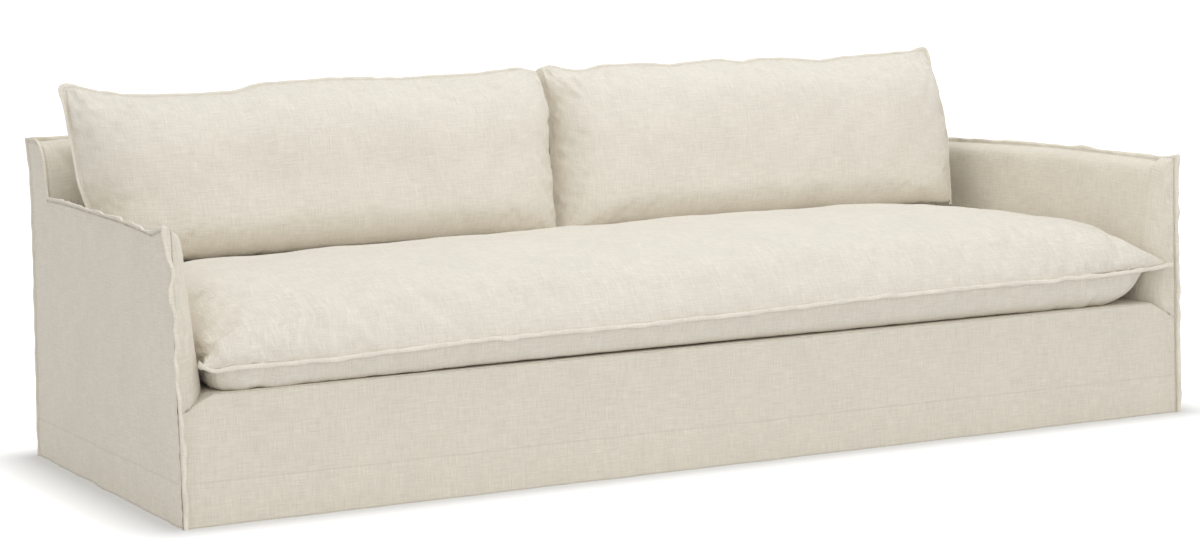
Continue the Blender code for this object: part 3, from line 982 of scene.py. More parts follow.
def side_flange(side, cover):
    """The flange up the front corner, along the arm, over the end strip and down the rear."""
    seed, corner_z = SEEDS["side"][side], arm_seam(side, FRONT_Y)
    heights = np.linspace(0.0, corner_z, 150)
    tops = np.linspace(FRONT_Y, strip_line(side, STRIP_FOOT_Z), 220)
    # The arm's own line, its corners rounded by a mean over one width to each side
    beside = FLANGE * np.array([-1.0, -0.5, 0.0, 0.5, 1.0])
    seam = sum(arm_seam(side, np.clip(tops + near, FRONT_Y, ARM_END_Y)) for near in beside)
    rise = np.linspace(arm_seam(side, ARM_END_Y), STRIP_TOP_Z, 30)
    over = np.linspace(strip_line(side, STRIP_TOP_Z), rear_seam(BACK_SEAM_Z), 28)
    fall = np.linspace(BACK_SEAM_Z, 0.0, 160)
    line = outline([
        joined(FRONT_Y, heights),
        joined(tops, seam / len(beside)),
        np.concatenate([
            joined(strip_line(side, rise), rise), joined(over, strip_top(side, over))[1:]
        ]),
        joined(rear_seam(fall), fall),
    ])
    waver = CORNER_WAVER[side] * wavering(heights, 0.055, seed + 12)
    line[1][: len(heights), 0] += waver * smooth(0.0, 0.03, heights)
    y, z = line[0].T

    upright = (y < FRONT_Y + 0.006) & (z < corner_z - 0.01)
    tilt = np.where(upright & (side < 0), corner_lean(z, corner_z), 0.40)
    tilt = np.convolve(np.pad(tilt, 6, mode="edge"), np.ones(13) / 13, "valid")
    # The rear seam hangs straight
    ruffle = np.where(upright, CORNER_RUFFLE[side], TOP_RUFFLE[side])
    ruffle = cover.ruffle * ruffle * (1 - 0.8 * smooth(0.40, 0.46, y))

    def lift(flat):
        """Stands the line's plane up as the plane of the side's flanges."""
        return settled(joined(side * LIP_X, flat[..., 0], flat[..., 1]))

    return flange(
        line, lift, (side, 0, 0), seed + 8, ruffle,
        curls=[(FRONT_Y + behind, corner_z, *curl) for behind, *curl in ARM_CURLS[side]],
        tilt=tilt,
        fat=np.where(upright, 1.5, 1.2),
        scallop=0.08 + 0.14 * (~upright) * smooth(0.10, -0.10, y),
    )


def side_panel(side, cover, material):
    """The sheet of a side and its flange."""
    name = "side_" + HAND[side]
    surfaces = [side_sheet(side, cover), side_flange(side, cover)]
    piece = dress(name + "_panel", name, surfaces, material)


# Inside arms: from the back forward, then round the front of the arm to its outer seam


def turn_bottom(angle):
    """Lower edge of the inside arm as it turns the front, down to the skirt's falling edge."""
    x = JOIN_X - arm_depth(0.34) * np.sin(np.radians(angle))
    low = 0.2405
    rise = low + (ARM_BOTTOM_Z - low) * (np.maximum(angle - 30, 0) / 60) ** 1.5
    return np.where(angle <= 18, skirt_top(x) + 0.001, rise)


def inside_arm(side, cover, material):
    """A sheet from the back to the front seam: level along the arm, then a turn about an upright
    curve whose radius grows downwards. The drop below the top seam sets the depth of the arm."""
    spacing, seed, flip = COARSE["arm"][side] * cover.spacing, SEEDS["arm"][side], side > 0
    along = np.linspace(1, 0, int(0.90 / spacing) + 1)
    turn = np.linspace(90, 0, 25)[1:]
    down = np.linspace(0, 1, int(0.36 / spacing) + 12) ** 1.35
    value, drop_share = np.meshgrid(np.append(along, 0 * turn), down)
    angle = np.broadcast_to(np.append(90 + 0 * along, turn), value.shape)
    straight = angle >= 90
    first = arm_seam(side, FRONT_Y + (0.36 - FRONT_Y) * value)
    bottom = np.where(straight, ARM_BOTTOM_Z, turn_bottom(angle) - 0.006 * smooth(60, 20, angle))
    drop = drop_share * (first - bottom)
    turned = np.radians(angle)
    x = side * (JOIN_X - arm_depth(drop) * np.sin(turned))
    start = soft_turn(drop) * (1 - np.cos(turned))
    end = back_face(np.minimum(first - drop, 0.64)) + recess(x) - 2 * GAP
    y = np.where(straight, FRONT_Y + start + (end - FRONT_Y - start) * value, FRONT_Y + start)
    z = np.where(straight, arm_seam(side, y), first) - drop
    points = joined(x, y, z)

    way = laid_flat(points)[..., 0]
    way = way - way[:, -1:]  # 0 at the front seam, falling towards the back
    loose = smooth(0, 0.03, drop) * smooth(0, 0.04, -way) * smooth(0, 0.02, z - bottom)
    pull = 1.1 * gathers(way, drop, 0.020, seed + 2) + gathers(z, -way, 0.020, seed + 3)
    relief = (
        loose * slack(way, z, seed, (0.0014, 0.22, 0.5), (0.0006, 0.07, 0.10))
        + cover.pucker * smooth(0, 0.004, drop) * pull
        - (creases(way, z, ARM_CREASES) + hollow(-way)) * smooth(0, 0.02, drop)
    )
    points = settled(raised(points, relief, flip))
    # The lower front edge is sewn behind the skirt
    points[..., 1] += 0.0028 * (1 - straight) * smooth(0.011, 0.003, z - bottom)
    sewn = sewing(way, 1.0, 0.25 + 0.6 * fading(-way, 0.08))
    sheet = panel(points, sewn, cover.thickness, flip=flip)
    name = "arm_" + HAND[side]
    piece = dress(name + "_panel", name, [sheet], material)


# Back


def inside_back(cover, material):
    """The profile from the rear top seam down to the deck, carried across and drawn in between
    the arms."""
    seed = SEEDS["inside back"]
    stations = np.append(np.linspace(0, 0.20, 34), np.linspace(0.20, BACK_WAY[-1], 30)[1:])
    across = np.sin(np.linspace(-1, 1, 171) * 1.15) / math.sin(1.15)
    share, along = np.meshgrid(across, stations)
    y, z = np.interp(along, BACK_WAY, BACK_Y), np.interp(along, BACK_WAY, BACK_Z)
    drop = sided(share, {hand: arm_seam(hand, 0.36) for hand in HAND}) - z
    edge = np.where(drop < 0, JOIN_X, JOIN_X - arm_depth(np.maximum(drop, 0)) + 0.005)
    x = share * edge
    points = joined(x, y + recess(x) * (1 - smooth(0.42, 0.50, y)), z)
    ends = np.maximum(edge - np.abs(x), 0)
    loose = smooth(0, 0.03, along) * smooth(0, 0.03, ends)
    pull = gathers(x, along, 0.020, seed + 2) + 1.3 * gathers(along, ends, 0.022, seed + 3)
    relief = (
        loose * slack(x, along, seed, (0.0016, 0.30, 0.25), (0.0007, 0.09, 0.08))
        + cover.pucker * pull
        - creases(x, along, BACK_CREASES)
    )
    relief = (
        np.maximum(relief, 0) * smooth(0.0, 0.02, ends)
        + np.minimum(relief, 0) * smooth(0.0, 0.03, ends)
        + 0.0025 * bell(ends, 0.008) * (drop < 0)
    )
    points = settled(raised(points, relief, True))
    sewn = sewing(x, 1.0, 0.3 + 0.5 * fading(ends, 0.08))
    sheet = panel(points, sewn, cover.thickness, flip=True)
    piece = dress("back_inner_panel", "back_inner", [sheet], material)


def outside_back(cover, material):
    """A sheet from the rear top seam to the floor that billows towards its hem, and the top
    flange, which slopes to the rear."""
    spacing, seed = COARSE["outside back"] * cover.spacing, SEEDS["outside back"]
    x, z = np.meshgrid(
        np.linspace(-JOIN_X, JOIN_X, int(2 * JOIN_X / spacing) + 1),
        np.linspace(0, BACK_SEAM_Z, int(BACK_SEAM_Z / (0.9 * spacing)) + 1),
    )
    fade = 1 - smooth(1.15, JOIN_X, np.abs(x))
    billow = 0.004 * wave(x, 0.7) * (1 - smooth(0.0, 0.7, z)) * fade
    relief = (
        billow
        + fade * slack(x, z, seed, (0.0012, 0.24, 1.0), (0.0005, 0.08, 0.13))
        + cover.pucker * gathers(x, BACK_SEAM_Z - z, 0.020, seed + 2)
        + cover.pucker * gathers(z, JOIN_X - np.abs(x), 0.020, seed + 3)
        - hem_depth(z, 0.005, 0.005)
    )
    points = settled(joined(x, rear_seam(z) + relief, z))
    sheet = panel(points, sewing(x, z - HEM_STITCH_Z, 0.3), cover.thickness, flip=True)

    ends = JOIN_X - 0.004
    line = outline([joined(np.linspace(-ends, ends, 480), BACK_SEAM_Z - 0.001)])

    def lift(flat):
        """Stands the line's plane up at the rear seam, with a slope of 0.35 to the rear."""
        x, z = flat[..., 0], flat[..., 1]
        y = rear_seam(BACK_SEAM_Z) - 0.0012 + 0.35 * (z - BACK_SEAM_Z)
        return settled(joined(x, y, z))

    lip = flange(line, lift, (0, 1, 0), seed + 4, cover.ruffle)
    piece = dress("back_outer_panel", "back_outer", [sheet, lip], material)


# Seat deck and front skirt


def deck(cover, material):
    """A level sheet between the arms, its front corners cut to the turn of each arm."""

    def edge(side, y):
        """Where the deck meets an inside arm: the arm's depth at the deck, within its turn."""
        drop = arm_seam(side, y) - DECK_Z
        left = np.clip(1 - (y - FRONT_Y) / soft_turn(drop), 0.0, 1.0)
        return JOIN_X - arm_depth(drop) * np.sin(np.arccos(left)) - 0.0012

    front, rear = FRONT_Y + 0.0012, back_face(DECK_Z) - 2 * GAP
    rows = front + (rear - front) * np.linspace(0, 1, 41) ** 1.8
    share, y = np.meshgrid(np.linspace(-1, 1, 121), rows)
    x = share * sided(share, {hand: edge(hand, y) for hand in HAND})
    inside = (
        smooth(0, 0.04, 1 - np.abs(share))
        * smooth(front, front + 0.03, y)
        * smooth(rear, rear - 0.03, y)
    )
    sag = np.minimum(0.0004 * drift(x, y, 0.20, 0.16, SEEDS["deck"]) - 0.0004, 0) * inside
    fall = (DECK_Z - skirt_top(x)) * smooth(front + 0.045, front, y)
    points = settled(joined(x, y, DECK_Z - 0.0003 + sag - fall))
    sheet = panel(points, sewing(x, 1.0, 0.3), cover.thickness)
    piece = dress("deck_panel", "deck", [sheet], material)


def front_skirt(cover, material):
    """Falls from the deck to the floor: slow upright folds that open towards the hem, the fall of
    its top edge under each arm with the small creases that it draws, and the hem's step and
    stitched groove."""
    spacing, seed = COARSE["skirt"] * cover.spacing, SEEDS["skirt"]
    x, share = np.meshgrid(
        np.linspace(-JOIN_X, JOIN_X, int(2 * JOIN_X / spacing) + 1),
        np.linspace(0, 1, int(DECK_Z / spacing) + 14),
    )
    top = skirt_top(x)
    z = share * top
    fade = 1 - smooth(1.14, 1.24, np.abs(x))
    fold = 0.003 * wave(x, 3.3) * fade * (1 - smooth(0.10, 0.25, z))
    ends = JOIN_X - np.abs(x)
    loose = smooth(0, 0.05, ends) * smooth(0, 0.05, top - z)
    pull = gathers(z, ends, 0.022, seed + 2) + 0.8 * gathers(x, top - z, 0.018, seed + 3)
    out = (
        loose * slack(x, z, seed, (0.0011, 0.23, 1.1), (0.0005, 0.08, 0.11))
        + cover.pucker * pull
        - hem_depth(z, 0.0030, 0.0015, step=HEM_STEP, rise=0.001)
        - creases(x, z, SKIRT_CREASES)
        - 0.8 * hollow(ends)
    )
    # The top edge rolls over to the deck
    roll = np.where(np.abs(x) < SKIRT_FALL_X, 0.0035, 0.0022) * smooth(0.008, 0.0, top - z) ** 2
    points = settled(joined(x, FRONT_Y + fold - out + roll, z))
    corners = 0.8 * fading(ends, 0.05) * smooth(0.12, 0.24, z)
    creased = 0.2 + corners + 0.25 * smooth(0.095, 0.09, z)
    sheet = panel(points, sewing(x, z - HEM_STITCH_Z, creased), cover.thickness)
    piece = dress("front_skirt_panel", "front_skirt", [sheet], material)


# Cushions

FILLING_FRAMES = 20
FILLING_STIFFNESS = {
    "tension_stiffness": 15,
    "compression_stiffness": 8,
    "shear_stiffness": 5,
    "bending_stiffness": 0.4,
}


def blown_up(front, back, cushions):
    """Fills a closed cushion: cloth under pressure with its rim held and no weight. A point moves
    along the simulated way by at most the reach. Returns the two grids again."""
    plain = sewing(0 * front[..., 0], 1.0)
    form = filled(front, back, plain, plain)
    mesh = bpy.data.meshes.new("filling")
    mesh.from_pydata(form.points, [], form.faces.tolist())
    obj = bpy.data.objects.new("filling", mesh)
    scene = bpy.context.scene
    scene.collection.objects.link(obj)
    rows, columns = front.shape[:2]
    index = numbered(rows, columns)
    rim = np.unique(np.concatenate([index[0], index[-1], index[:, 0], index[:, -1]]))
    obj.vertex_groups.new(name="seam").add(rim.tolist(), 1.0, "REPLACE")
    cloth = obj.modifiers.new("filling", "CLOTH")
    cloth.settings.quality = 4
    cloth.settings.mass = 0.3
    for key, value in FILLING_STIFFNESS.items():
        setattr(cloth.settings, key, value)
    cloth.settings.use_pressure = True
    cloth.settings.uniform_pressure_force = cushions.pressure
    cloth.settings.shrink_min = -cushions.growth
    cloth.settings.vertex_group_mass = "seam"
    cloth.settings.effector_weights.gravity = 0
    cloth.collision_settings.use_collision = False
    cloth.collision_settings.use_self_collision = False
    cloth.point_cache.frame_start, cloth.point_cache.frame_end = 1, FILLING_FRAMES
    for number in range(1, FILLING_FRAMES + 1):
        scene.frame_set(number)
    done = obj.evaluated_get(bpy.context.evaluated_depsgraph_get()).to_mesh()
    moved = np.empty(len(form.points) * 3)
    done.vertices.foreach_get("co", moved)
    bpy.data.objects.remove(obj, do_unlink=True)
    bpy.data.meshes.remove(mesh)
    scene.frame_set(1)
    move = moved.reshape(-1, 3) - form.points
    size = np.maximum(np.linalg.norm(move, axis=1, keepdims=True), 1e-9)
    after = form.points + move * (cushions.reach * np.tanh(size / cushions.reach) / size)
    front = after[: rows * columns].reshape(front.shape)
    back = front.copy()
    back[1:-1, 1:-1] = after[rows * columns :].reshape(rows - 2, columns - 2, 3)
    return front, back


def stuffed(front, back, rested, cushions, times):
    """Joins the rims of a cushion's two grids, fills it, lets it rest and makes it finer."""
    back[0], back[-1], back[:, 0], back[:, -1] = front[0], front[-1], front[:, 0], front[:, -1]
    front, back = blown_up(front, back, cushions)
    return refined(rested(front, 1), times), refined(rested(back, -1), times)


def seat_across(u):
    """The arch over the top from end to end, with a power and a root for each end."""
    return arch(u, sided(u, SEAT_FULLNESS), sided(u, SEAT_ROUND))


def seat_along(v, u=0.0):
    """From the front flange to the rear one, fuller to the front near the right end."""
    crown = 2 * (SEAT_CROWN_Y - SEAT_FRONT_Y) / (SEAT_REAR_Y - SEAT_FRONT_Y) - 1
    ahead = arch((crown - v) / (1 + crown), 2.2 + 2.4 * smooth(0.63, 0.97, u), 0.5)
    return np.where(v < crown, ahead, arch((v - crown) / (1 - crown), 6, 0.5))


def seat_plan(u, v):
    """Place of a point seen from above: a rectangle whose front corners stand out."""
    ear = bell(np.maximum(v + 1, 0.0), 0.09)
    half = SEAT_HALF + sided(u, SEAT_EAR) * ear
    return u * half, SEAT_FRONT_Y + (v + 1) * (SEAT_REAR_Y - SEAT_FRONT_Y) / 2


def seat_shape(u, v, face):
    """A point of the top (face 1): the flange's height plus the crown's rise times both arches. Or
    one of the underside (face -1): the flange's height less the belly, down to the deck."""
    x, y = seat_plan(u, v)
    z = table(SEAT_SEAM, x)
    if face < 0:
        across = np.abs(u) ** sided(u, SEAT_UNDER)
        belly = np.maximum(1 - across - np.abs(v) ** 20, 0.0) ** 0.5
        return joined(x, y, np.maximum(z - SEAT_BELLY * belly, DECK_Z + GAP))
    crown = table(SEAT_SEAM, x, result=2)
    return joined(x, y, z + (crown - z) * seat_across(u) * seat_along(v, u))


def seat_rested(points, face):
    """Keeps the cushion on the deck, and under the back cushions."""
    z = points[..., 2]
    points = points.copy()
    if face < 0:
        points[..., 2] = np.maximum(z, DECK_Z + GAP)
    else:
        pressed = smooth(*SHELF_Y, points[..., 1])
        points[..., 2] = z * (1 - pressed) + np.minimum(z, shelf(points[..., 0])) * pressed
    return points


def seat_flange(cover):
    """The flange all round: front, left end, rear and right end, and a last short step that
    closes it."""
    depth = (SEAT_REAR_Y - SEAT_FRONT_Y) / 2
    run = np.linspace(-1, 1, 480)
    side = even_stations(
        lambda v: (v * depth + 0.02 * np.exp(-(v + 1) / 0.03), 0 * v), -1, 1, 0.0045
    )
    front, rear = 0 * run - 1, 0 * run + 1
    left, right = 0 * side - 1, 0 * side + 1
    corner = np.array([1.0, 0.999]), np.array([-1.0, -1.0])
    ways = ((run[::-1], front), (left, side), (run, rear), (right, side[::-1]), corner)
    seam = outline([joined(*seat_plan(u, v)) for u, v in ways])

    def lift(flat):
        """Gives the level line the height of the seam at its x."""
        x, y = flat[..., 0], flat[..., 1]
        return settled(joined(x, y, table(SEAT_SEAM, x)))

    ends = seat_plan(np.array([-1.0, 1.0]), np.array([-1.0, -1.0]))[0]
    curls = (
        (ends[0], SEAT_FRONT_Y, 0.016, 0.005, -0.20),
        (ends[1], SEAT_FRONT_Y, 0.022, 0.003, 0.15),
    )
    return flange(
        seam, lift, (0, 0, 1), SEEDS["seat"] + 6, 1.1 * cover.ruffle, curls, fat=1.7
    )


def seat_cushion(cushions, cover, material):
    """One long cushion. Its top is a product of two full arches, deep over the flange, and its
    belly is shallow and flat on the deck. The rear third is pressed flat by the back cushions."""
    seed, spacing = SEEDS["seat"], COARSE["seat"] * cushions.spacing
    depth = (SEAT_REAR_Y - SEAT_FRONT_Y) / 2
    u, v = np.meshgrid(
        even_stations(lambda u: (u * SEAT_HALF, SEAT_CROWN * seat_across(u)), -1, 1, spacing),
        even_stations(lambda v: (v * depth, SEAT_CROWN * seat_along(v)), -1, 1, spacing),
    )
    front, back = (seat_rested(seat_shape(u, v, face), face) for face in (1, -1))
    front, back = stuffed(front, back, seat_rested, cushions, 1)
    u, v = refined(joined(u, v)).transpose(2, 0, 1)

    x, y = front[..., 0], front[..., 1]
    above = front[..., 2] - table(SEAT_SEAM, x)
    to_front = (y - SEAT_FRONT_Y) + 0.8 * above
    to_end = SEAT_HALF * (1 - np.abs(u)) + 0.6 * above
    free = smooth(0.0, 0.004, np.minimum(1 - np.abs(u), 1 - np.abs(v)))
    pull = 1.3 * gathers(x, to_front, 0.035, seed + 2) + 1.5 * gathers(y, to_end, 0.030, seed + 3)
    relief = free * (
        slack(x, y, seed, (0.0022, 0.34, 0.26), (0.0008, 0.10, 0.08))
        + cover.pucker * pull
        - creases(x, y, SEAT_CREASES)
    )
    front = raised(front, relief)
    below_x, below_z = back[..., 0], back[..., 2]
    to_seam = table(SEAT_SEAM, below_x) - below_z
    relief = free * smooth(DECK_Z + 0.006, DECK_Z + 0.02, below_z) * (
        0.0010 * drift(below_x, below_z, 0.12, 0.08, seed + 4)
        + 1.2 * cover.pucker * gathers(below_x, to_seam, 0.020, seed + 5)
    )
    back = raised(back, relief, True)
    corners = bell(np.hypot((np.abs(x) - 1.12) / 0.20, (y + 0.50) / 0.16), 1)
    creased = np.minimum(0.25 + 0.9 * corners + 0.35 * bell(y + 0.47, 0.07), 1)
    body = filled(
        settled(front), settled(back), sewing(x, 1.0, creased), sewing(below_x, 1.0, 0.35)
    )
    surfaces = [body, seat_flange(cover)]
    piece = dress("seat_cushion_filled", "seat_cushion", surfaces, material)


BELLY_W = -0.15  # height of the fullest line, from -1 at the bottom to 1 at the top
TIP_U, TIP_W = 1 + FLANGE / PILLOW_HALF, 1 + FLANGE / 0.215  # the flange's tips, in u and in w


def pillow_middle(name, u, w):
    """The leaning mid-plane between the tips of the four uneven edges."""
    edges = PILLOWS[name]
    across, up = (u / TIP_U + 1) / 2, (w / TIP_W + 1) / 2
    level = PILLOW_BOTTOM_Z + up * (PILLOW_TOP_Z - PILLOW_BOTTOM_Z)
    left, right = table(edges["left"], level), table(edges["right"], level)
    x = left + across * (right - left)
    z = PILLOW_BOTTOM_Z + up * (table(edges["top"], x) - PILLOW_BOTTOM_Z)
    return joined(x, LEAN_FOOT_Y + LEAN * (z - LEAN_FOOT_Z), z)


def pillow_across(u, met):
    """Fuller at the end where the two cushions meet."""
    return arch(u, np.where(u * met > 0, 8, 5), 0.5)


def pillow_up(w):
    """The arch from the bottom edge to the top edge, highest at the fullest line."""
    above = arch((w - BELLY_W) / (1 - BELLY_W), 2.9, 0.55)
    return np.where(w > BELLY_W, above, arch((BELLY_W - w) / (1 + BELLY_W), 9, 0.5))


def pillow_rested(points, face):
    """Keeps the cushion on the seat and in front of the inside back."""
    points = points.copy()
    floor, z = shelf(points[..., 0]) + 0.0011, points[..., 2]
    points[..., 2] = np.where(z < floor, floor + (z - floor) * PRESS, z)
    wall, y = back_face(0.49) + (points[..., 2] - 0.49) * 0.19 - 0.0015, points[..., 1]
    points[..., 1] = np.where(y > wall, wall + (y - wall) * PRESS, y)
    return points


def pillow_flange(name, normal, cover):
    """The flange up one end, along the top and down the other. It lies back along the top, and
    turns back further where the two cushions meet."""
    pillow = PILLOWS[name]
    rise, top = np.linspace(-1, 1, 100), np.linspace(-1, 1, 250)
    ways = ((0 * rise - 1, rise), (top, 0 * top + 1), (0 * rise + 1, rise[::-1]))
    seam = outline([pillow_middle(name, u, w)[..., (0, 2)] for u, w in ways], square=0.1)

    def lift(flat):
        """Leans the line's plane back, and keeps its lower ends on the seat."""
        x, z = flat[..., 0], flat[..., 1]
        y = LEAN_FOOT_Y + LEAN * (z - LEAN_FOOT_Z)
        return settled(joined(x, y, np.maximum(z, SHELF_Z - 0.004)))

    corners = pillow_middle(name, np.array([-1.0, 1.0]), np.array([1.0, 1.0]))[..., (0, 2)]
    curls = ((*corners[0], 0.030, -0.003, 0.45), (*corners[1], 0.026, 0.003, 0.25))
    low, high = pillow["ends"]
    turns = (0.15, -0.5, -0.5, -2.5) if pillow["met"] > 0 else (-2.5, -0.5, -0.5, 0.15)
    tilt = np.interp(seam[0][:, 0], [low, low + 0.03, high - 0.03, high], turns)
    return flange(seam, lift, normal, pillow["seed"] + 5, cover.ruffle, curls, tilt)


def back_cushion(name, cushions, cover, material):
    """A knife-edged cushion. Its mid-plane leans back, and it swells to the front and to the rear
    by a product of two arches. The wall behind and the seat below press it flat."""
    pillow, spacing = PILLOWS[name], COARSE["back cushion"] * cushions.spacing
    seed, met, swell = pillow["seed"], pillow["met"], PILLOW_SWELL
    normal = np.array([0.0, -1.0, LEAN]) / math.hypot(1.0, LEAN)

    def across(u):
        """The curve along which the columns lie evenly."""
        return PILLOW_HALF * u, swell[1] * pillow_across(u, met)

    u, w = np.meshgrid(
        even_stations(across, -1, 1, spacing),
        even_stations(lambda w: (PILLOW_RISE * w, swell[1] * pillow_up(w)), -1, 1, spacing),
    )
    plane = pillow_middle(name, u, w)
    fullness = (pillow_across(u, met) * pillow_up(w))[..., None] * normal
    front, back = (
        pillow_rested(plane + face * swell[face] * fullness, face) for face in (1, -1)
    )
    front, back = stuffed(front, back, pillow_rested, cushions, 2)
    u, w = refined(joined(u, w), 2).transpose(2, 0, 1)

    x, z = front[..., 0], front[..., 2]
    swollen = swell[1] * pillow_across(u, met) * pillow_up(w)
    to_top = (1 - w) * PILLOW_RISE + 0.9 * swollen * (w > BELLY_W)
    to_left, to_right = ((1 + hand * u) * PILLOW_HALF + 0.8 * swollen for hand in (1, -1))
    free = smooth(0.0, 0.02, np.minimum(1 - np.abs(u), 1 - np.abs(w)))
    pull = (
        pillow["gathers"] * gathers(x + 0.25 * (z - 0.88), to_top, 0.040, seed + 2)
        + 1.2 * gathers(z, to_left, 0.030, seed + 3)
        + 1.2 * gathers(z, to_right, 0.030, seed + 4)
    )
    rows = [
        (end - hand * near, z_near, end - hand * far, *crease)
        for hand, end in zip(HAND, pillow["ends"])
        for near, z_near, far, *crease in PILLOW_CREASES[hand]
    ]
    relief = free * (
        slack(x, z, seed, (0.0024, 0.30, 0.22), (0.0009, 0.10, 0.09))
        + cover.pucker * pull
        - creases(x, z, [*rows, *pillow["puckers"]])
    )
    front = raised(front, relief)
    ends = fading(np.minimum(to_left, to_right), 0.08)
    creased = np.minimum(0.25 + 0.75 * fading(to_top, 0.07) + 0.4 * ends, 1)
    body = filled(settled(front), settled(back), sewing(x, 1.0, creased), sewing(x, 1.0, 0.3))
    surfaces = [body, pillow_flange(name, normal, cover)]
    piece = dress(name + "_filled", name, surfaces, material)


# Materials


class Nodes:
    """Adds nodes to a tree and links what is given to them."""

    def __init__(self, tree):
        self.tree = tree

    def feed(self, node, inputs):
        """Links each input to the socket given for it, or sets it to the value."""
        for key, value in dict(inputs).items():
            if isinstance(value, bpy.types.NodeSocket):
                self.tree.links.new(value, node.inputs[key])
            else:
                node.inputs[key].default_value = value

    def add(self, kind, inputs=(), **settings):
        """A new node with its settings, fed with its inputs."""
        node = self.tree.nodes.new(kind)
        for key, value in settings.items():
            setattr(node, key, value)
        self.feed(node, inputs)
        return node

    def math(self, operation, *values):
        """The result of one operation on its values."""
        return self.add("ShaderNodeMath", enumerate(values), operation=operation).outputs[0]

    def split(self, vector):
        """The three parts of a vector."""
        return self.add("ShaderNodeSeparateXYZ", {0: vector}).outputs

    def noise(self, vector, detail, roughness, distortion=0.0):
        """Noise of about one wave per unit of the vector."""
        return self.add("ShaderNodeTexNoise", {
            "Vector": vector, "Scale": 1.0, "Detail": detail, "Roughness": roughness,
            "Distortion": distortion,
        }).outputs["Fac"]

    def streaks(self, vector, scale, detail, roughness=0.5):
        """Noise stretched by its own scale along u and along v."""
        ways = {0: vector, 1: (*scale, 1.0)}
        stretched = self.add("ShaderNodeVectorMath", ways, operation="MULTIPLY").outputs[0]
        return self.noise(stretched, detail, roughness)

    def spread(self, value, low, high, to_low, to_high):
        """The value, moved from one range to another and kept within it."""
        ends = {"From Min": low, "From Max": high, "To Min": to_low, "To Max": to_high}
        return self.add("ShaderNodeMapRange", {"Value": value, **ends}).outputs["Result"]

    def total(self, *terms):
        """The sum of its terms: each is a value, or a value and its weight."""
        total = None
        for term in terms:
            term = self.math("MULTIPLY", *term) if isinstance(term, tuple) else term
            total = term if total is None else self.math("ADD", total, term)
        return total

    def blend(self, share, first, second):
        """A colour between two others: sockets 6 and 7 are the mix node's two colours."""
        inputs = {"Factor": share, 6: first, 7: second}
        return self.add("ShaderNodeMix", inputs, data_type="RGBA").outputs[2]


def new_group(name, given, made):
    """An empty node group with its sockets: kind, name and default of what it is given, and kind
    and name of what it makes. Returns its nodes, its inputs and its outputs."""
    group = bpy.data.node_groups.new(name, "ShaderNodeTree")
    for kind, label, default in given:
        socket = group.interface.new_socket(
            name=label, in_out="INPUT", socket_type="NodeSocket" + kind
        )
        if default is not None:
            socket.default_value = default
    for kind, label in made:
        group.interface.new_socket(name=label, in_out="OUTPUT", socket_type="NodeSocket" + kind)
    nodes = Nodes(group)
    return nodes, nodes.add("NodeGroupInput").outputs, nodes.add("NodeGroupOutput")


def linen_group():
    """Washed linen: plain-weave threads, slubs both ways, cloudy washing marks and fine dry
    creases, with a painted highlight along the crease ridges and along the tips of flanges."""
    nodes, given, out = new_group(
        "Washed linen",
        (
            ("Vector", "Cloth", None),
            ("Float", "Creased", 0.3),
            ("Float", "Painted rim highlight", 0.0),
            ("Color", "Colour", (0.64, 0.59, 0.50, 1.0)),
            ("Float", "Thread pitch", 0.0011),
            ("Float", "Slub", 0.2),
        ),
        (("Color", "Colour"), ("Float", "Height")),
    )
    cloth = given["Cloth"]

    # Threads over and under each other, a little off their straight way
    paces = []
    for along in nodes.split(cloth)[:2]:
        turns = nodes.math("DIVIDE", along, given["Thread pitch"])
        turns = nodes.total(turns, (nodes.streaks(cloth, (40, 40), 1.0), 1.5))
        paces.append(nodes.math("SINE", nodes.math("MULTIPLY", turns, math.pi)))
    threads = nodes.math("MULTIPLY", *paces)

    # Slubs: long thick threads, fine and coarse, in both directions
    ways = []
    for scales in SLUBS:
        fine, coarse = (nodes.streaks(cloth, scale, 2.0, 0.6) for scale in scales)
        ways.append(nodes.total(fine, (coarse, 0.5)))
    slubs = nodes.spread(nodes.total(*ways), 1.15, 1.85, -1.0, 1.0)
    flecks = nodes.spread(nodes.streaks(cloth, (420, 420), 1.0), 0.66, 0.76, 0.0, 1.0)
    clouds = nodes.spread(nodes.streaks(cloth, (7, 5), 3.0, 0.55), 0.3, 0.7, -1.0, 1.0)

    # Dry creases: thin raised lines where a slanting noise crosses its middle, which also get a
    # painted highlight
    slant = nodes.add("ShaderNodeMapping", {
        "Vector": cloth, "Rotation": (0.0, 0.0, math.radians(32)), "Scale": (34.0, 9.0, 1.0),
    }).outputs[0]
    veins = nodes.noise(slant, 2.0, 0.55, distortion=0.8)
    ridge = nodes.math("ABSOLUTE", nodes.math("SUBTRACT", veins, 0.5))
    ridge = nodes.math("MULTIPLY", nodes.spread(ridge, 0.0, 0.05, 1.0, 0.0), given["Creased"])

    # The tone takes a painted highlight along the crease ridges, and another along the flange tips
    tone = nodes.total(
        (slubs, given["Slub"]), (clouds, 0.020), (threads, 0.03), (flecks, -0.05), (ridge, 0.06),
        (given["Painted rim highlight"], 0.09), 1.0,
    )
    bright = nodes.add("ShaderNodeVectorMath", {0: given["Colour"], 3: tone}, operation="SCALE")
    nodes.feed(out, {
        "Colour": bright.outputs[0],
        "Height": nodes.total((threads, 0.18), (slubs, 0.50), (ridge, 2.0)),
    })
    return nodes.tree


